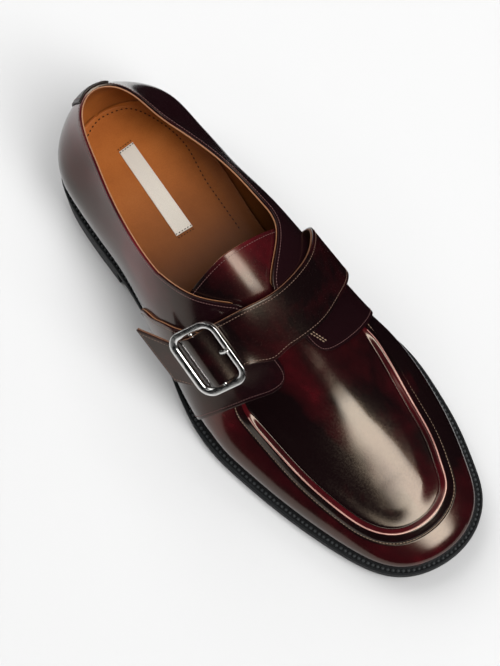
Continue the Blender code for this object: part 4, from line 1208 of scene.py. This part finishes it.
frame_path, frame_out = [], []
for index, (a, b) in enumerate(((1, 1), (-1, 1), (-1, -1), (1, -1))):
    centre = in_buckle(a * (HALF_ALONG - BUCKLE_CORNER), b * (HALF_ACROSS - BUCKLE_CORNER), 0.0)
    for step in range(CORNER_STEPS + 1):
        angle = math.radians(90 * (index + step / CORNER_STEPS))
        frame_out.append(math.cos(angle) * outward + math.sin(angle) * along_bars)
        frame_path.append(centre + frame_out[-1] * BUCKLE_CORNER)
wide, high = BAR_WIDE / 2, BAR_HIGH / 2
frame_section = np.array([
    (-wide + 0.35, -high), (wide - 0.35, -high), (wide - 0.1, -high + 0.1), (wide, -high + 0.35),
    (wide, high - 0.55), (wide - 0.1, high - 0.25), (wide - 0.3, high - 0.06), (wide - 0.5, high),
    (-wide + 1.9, high), (-wide + 1.5, high - 0.06), (-wide + 1.0, high - 0.22), (-wide + 0.55, high - 0.5),
    (-wide + 0.25, high - 0.85), (-wide + 0.05, high - 1.3), (-wide, high - 1.8), (-wide, -high + 0.35),
    (-wide + 0.1, -high + 0.1),
])
tube("buckle_frame", np.array(frame_path), np.array(frame_out), off_strap, frame_section, closed=True,
     nodes=["buckle"], angle=28.0)

angles = 2 * math.pi * np.arange(ROUND_SIDES) / ROUND_SIDES
circle = np.stack([np.cos(angles), np.sin(angles)], -1)
bar_ends = in_buckle(0.0, [-HALF_ACROSS, HALF_ACROSS], 0.0)
tube("buckle_centre_bar", bar_ends, outward, off_strap, circle * CENTRE_BAR)

prong_walk = np.linspace(0, 1, PRONG_STEPS)
prong_past, prong_height = (smooth_curve(np.linspace(0, 1, len(PRONG_LINE)), values)(prong_walk)
                            for values in zip(*PRONG_LINE))
prong_path = in_buckle(prong_past, 0.0, prong_height)
prong_heading = np.gradient(prong_path, axis=0)
prong_heading /= np.linalg.norm(prong_heading, axis=1)[:, None]
prong_size = PRONG * (1 - 0.35 * ease(prong_walk, 0.7, 1.0))
prong_size *= np.sqrt(np.clip((1.02 - prong_walk) / 0.06, 0.05, 1.0))
tube("prong", prong_path, along_bars, np.cross(prong_heading, along_bars), circle * prong_size[:, None, None],
     nodes=["buckle_prong"])


# ---------------------------------------------------------------------------------------------
# Strap
# Two leathers, glued and stitched 1.9 mm inside their edges. It rises from the sole on the inner
# side, crosses the instep and goes under the buckle's inner bar, over its centre bar and under
# its outer bar; its free end stands off the shoe.

STRAP_THICK, STRAP_BACKING, STRAP_MARGIN = 2.2, 1.03, 1.9
STRAP_RAISE = 0.7
# reach across, back edge y, front edge y, height of its underside
STRAP = [
    (-0.96, 119.5, 142.0, 0.35), (-0.84, 121.0, 145.0, 0.8), (-0.72, 123.5, 149.5, 1.6),
    (-0.60, 127.0, 155.0, 2.4), (-0.48, 132.5, 160.0, 2.4), (-0.36, 139.5, 164.5, 1.6),
    (-0.24, 144.3, 169.0, 0.8), (-0.12, 147.2, 171.3, 0.45), (-0.02, 147.8, 171.5, 0.4),
    (0.07, 145.9, 170.6, 1.9), (0.14, 143.9, 169.8, 3.6),
]
# distance past the centre bar; heights of its underside over the frame's middle at the heel edge
# and the toe edge; the two edges
STRAP_IN_BUCKLE = [
    (-13.6, -4.3, -6.2, -13.8, 13.8), (-6.6, -1.25, -2.2, -14.4, 14.4), (0.0, 1.75, 1.75, -14.5, 14.5),
    (6.6, -1.0, -1.0, -14.4, 14.4), (11.6, -4.4, -4.4, -13.6, 13.6), (16.4, -4.7, -4.7, -15.0, 13.6),
]
TAIL_CORNERS = [(31.2, -28.4, -8.2), (30.1, 5.1, -8.2)]
STRAP_COLUMNS, STRAP_ROWS, TAIL_ROWS = 41, 190, 40

widths = np.linspace(0.0, 1.0, STRAP_COLUMNS)
strap_knots = []
for reach, back, front, height in STRAP:
    raised = height + STRAP_RAISE * (1 - ease(reach, 0.0, 0.14))
    strap_knots.append(across_last(reach, back + (front - back) * widths, raised)[0])
for past_bar, heel_height, toe_height, heel_edge, toe_edge in STRAP_IN_BUCKLE:
    strap_knots.append(in_buckle(past_bar, heel_edge + (toe_edge - heel_edge) * widths,
                                 heel_height + (toe_height - heel_height) * widths))
strap_knots = np.array(strap_knots)
knot_walk = walked(strap_knots.mean(axis=1))
strap_walk = np.linspace(0, knot_walk[-1], STRAP_ROWS)
strap_curve = np.array([[smooth_curve(knot_walk, strap_knots[:, k, axis])(strap_walk) for axis in range(3)]
                        for k in range(STRAP_COLUMNS)]).transpose(2, 0, 1)
tail_end = in_buckle(*(np.linspace(heel, toe, STRAP_COLUMNS) for heel, toe in zip(*TAIL_CORNERS)))
tail_shares = np.linspace(0, 1, TAIL_ROWS + 1)[1:, None, None]
strap_low = np.concatenate([strap_curve, strap_curve[-1] + (tail_end - strap_curve[-1]) * tail_shares])
strap_up = np.cross(np.gradient(strap_low, axis=0), np.gradient(strap_low, axis=1))
strap_up *= np.sign(strap_up[..., 2].mean()) / np.linalg.norm(strap_up, axis=2)[..., None]

dyed_edge = material_of("dyed_leather_edge", (0.12, 0.052, 0.026), 0.5, Specular_IOR_Level=0.3)
relief(dyed_edge, speckle(dyed_edge, 2600.0, 4.0), 0.06)
strap_face = strap_low + strap_up * STRAP_THICK
solid_sheet("strap_leather", strap_face, strap_low + strap_up * (STRAP_BACKING + LAYER_GAP), [satin_burgundy],
            ["strap"], bevel=0.3, burnish_and_painted_light=0.80)
solid_sheet("strap_backing", strap_low + strap_up * STRAP_BACKING, strap_low, [lining_tan, dyed_edge],
            bevel=0.2)


def edge_paths(grid, normals, inset):
    """Two paths over a sheet, at a distance inside each of its long edges."""
    for order in (1, -1):
        path, ups = [], []
        for spots, directions in zip(grid[:, ::order], normals[:, ::order]):
            across = walked(spots)
            path.append([np.interp(inset, across, spots[:, k]) for k in range(3)])
            ups.append([np.interp(inset, across, directions[:, k]) for k in range(3)])
        yield np.array(path), np.array(ups)


# The stitching is hidden where the strap fills the buckle, and turns across near the free end
strap_thread = thread_of("brown_strap_thread", (0.135, 0.078, 0.054), 0.45)
strap_sides = list(edge_paths(strap_face, strap_up, STRAP_MARGIN))
rows = np.arange(len(strap_low))
end_row = len(strap_low) - 4
past_buckle = (strap_face[:, STRAP_COLUMNS // 2] - BUCKLE_MIDDLE) @ outward
strap_paths = [(line[chosen], ups[chosen]) for line, ups in strap_sides
               for chosen in ((past_buckle < -13.0) & (rows > 1), (past_buckle > 15.0) & (rows <= end_row))]
end_line = np.linspace(strap_sides[0][0][end_row], strap_sides[1][0][end_row], 30)
strap_paths.append((end_line, np.tile(strap_up[end_row, STRAP_COLUMNS // 2], (30, 1))))
sew("strap_stitches", strap_paths, strap_thread, 1.7, 1.3, 0.42, 0.06)


# ---------------------------------------------------------------------------------------------
# Buckle tab
# A short strap on the outer side that runs up from the sole and carries the buckle. The fold
# that holds the centre bar lies hidden under the strap and is left out.

TAB_THICK, TAB_BACKING = 1.9, 0.78
TAB_ABOVE = 0.08
TAB_COLUMNS, TAB_ROWS = 31, 70
# reach across, back edge y, front edge y
TAB = [
    (0.97, 103.5, 136.0), (0.75, 109.5, 142.0), (0.69, 115.0, 146.0), (0.62, 120.0, 150.0),
    (0.51, 129.0, 156.0), (0.44, 134.5, 160.0), (0.37, 140.0, 163.0), (0.33, 143.0, 164.0),
]

tab_reach = np.linspace(TAB[0][0], TAB[-1][0], TAB_ROWS)[:, None]
tab_back, tab_front = (column_of(TAB[::-1], k)(tab_reach) for k in (1, 2))
tab_y = tab_back + (tab_front - tab_back) * np.linspace(0, 1, TAB_COLUMNS)
tab_low, tab_up = across_last(tab_reach, tab_y, quarter_lift(tab_y) + TAB_ABOVE)
tab_face = tab_low + tab_up * TAB_THICK
solid_sheet("tab_leather", tab_face, tab_low + tab_up * (TAB_BACKING + LAYER_GAP), [burgundy],
            ["buckle_tab"], bevel=0.3, burnish_and_painted_light=0.7)
solid_sheet("tab_backing", tab_low + tab_up * TAB_BACKING, tab_low, [lining_tan, raw_edge],
            bevel=0.18)
sew("tab_stitches", edge_paths(tab_face, tab_up, STRAP_MARGIN), strap_thread,
    1.7, 1.3, 0.42, 0.06)


# ---------------------------------------------------------------------------------------------
# Table, light and camera
# A pale matt table under a dark ceiling with large soft lights, seen from high over the toe. The
# view's upright leans over the shoe, so its toe points down and to the right.

CAMERA_SPOT = Vector((0.1598, 0.2869, 1.4334))
AIM = Vector((0.006, -0.002, 0.030))
UPRIGHT = Vector((-0.58604, -0.77103, 0.24914))
LENS, SENSOR = 150.0, 36.0
LAMP_DISTANCE = 2.6
FLAG_CORNERS = [(-0.052, -0.26, 0.0), (-0.064, 0.04, 0.0), (-0.064, 0.20, 0.0), (-0.090, 0.20, 0.24),
                (-0.090, 0.04, 0.24), (-0.078, -0.26, 0.24)]


def stand(name, corners, faces, material):
    """A plain thing of the studio."""
    mesh = bpy.data.meshes.new(name)
    mesh.from_pydata(corners, [], faces)
    mesh.materials.append(material)
    thing = put(name, mesh)
    return thing


def turn_to(thing, right, upward, back):
    """Turn a lamp or a camera so that its axes are these three directions."""
    thing.rotation_mode = "QUATERNION"
    thing.rotation_quaternion = Matrix((right, upward, back)).transposed().to_quaternion()


table_paint = material_of("pale_table", (0.545, 0.545, 0.545), 0.8, Specular_IOR_Level=0.1)
stand("table", [(-6, -6, 0), (6, -6, 0), (6, 6, 0), (-6, 6, 0)], [(0, 1, 2, 3)], table_paint)

# The leather's top mirrors only the lamps, so the room's light is kept out of the shine
world = bpy.data.worlds.new("studio")
world.use_nodes = True
world.node_tree.nodes["Background"].inputs["Color"].default_value = (0.12, 0.12, 0.12, 1.0)
world.cycles_visibility.glossy = False
bpy.context.scene.world = world
bpy.context.scene.view_settings.view_transform = "Standard"


def soft_light(name, height, compass, width, depth, glow, edges=(0.3, 0.3)):
    """A diffuser that faces the shoe and fades at its edges.

    Height and compass are degrees from the zenith and round from the outer side; glow is at its middle.
    """
    lamp = bpy.data.lights.new(name, "AREA")
    lamp.shape = "RECTANGLE"
    lamp.size, lamp.size_y = width, depth
    lamp.energy = glow * width * depth * 4.0
    lamp.use_nodes = True
    place = add_node(lamp, "ShaderNodeNewGeometry").outputs["Parametric"]
    axes = add_node(lamp, "ShaderNodeSeparateXYZ", [(0, place)]).outputs
    fades = [add_node(lamp, "ShaderNodeMapRange", [
        ("Value", calculate(lamp, "PINGPONG", axes[axis], 0.5)), ("From Max", edge * 0.5),
    ], interpolation_type="SMOOTHSTEP").outputs["Result"] for axis, edge in zip("XY", edges)]
    strength = lamp.node_tree.nodes["Emission"].inputs["Strength"]
    lamp.node_tree.links.new(calculate(lamp, "MULTIPLY", *fades), strength)
    thing = put(name, lamp)
    height, compass = math.radians(height), math.radians(compass)
    level = math.sin(height)
    away = Vector((level * math.cos(compass), level * math.sin(compass), math.cos(height)))
    thing.location = away * LAMP_DISTANCE
    side = (Vector((1, 0, 0)) - away * away.x).normalized()
    turn_to(thing, side, away.cross(side), away)
    return thing


soft_light("key_softbox", 29.5, 108.0, 1.55, 2.6, 9.3, edges=(0.7, 0.42))
soft_light("back_softbox", 48.0, 268.0, 4.2, 2.2, 1.3)
soft_light("outer_strip", 40.0, -6.0, 0.4, 1.2, 1.3)
soft_light("inner_strip", 38.0, 190.0, 0.4, 1.2, 2.4)
# A wide ceiling panel evens out the table; the leather does not mirror it
ceiling_panel = soft_light("ceiling_panel", 42.0, 262.0, 3.4, 3.0, 1.8)
ceiling_panel.visible_glossy = False

# A black flag beside the inner side, out of the picture, keeps the pale table out of its shine
black_felt = material_of("black_felt", (0.012, 0.009, 0.009), 0.9, Specular_IOR_Level=0.1)
flag = stand("black_flag", FLAG_CORNERS, [(0, 1, 4, 5), (1, 2, 3, 4)], black_felt)
flag.visible_camera = flag.visible_diffuse = flag.visible_shadow = False

camera_data = bpy.data.cameras.new("camera")
camera_data.lens = LENS
camera_data.sensor_width = SENSOR
camera_data.clip_start, camera_data.clip_end = 0.01, 50.0
camera = put("camera", camera_data)
camera.location = CAMERA_SPOT
bpy.context.scene.camera = camera
back_axis = (CAMERA_SPOT - AIM).normalized()
right_axis = UPRIGHT.cross(back_axis).normalized()
turn_to(camera, right_axis, back_axis.cross(right_axis), back_axis)
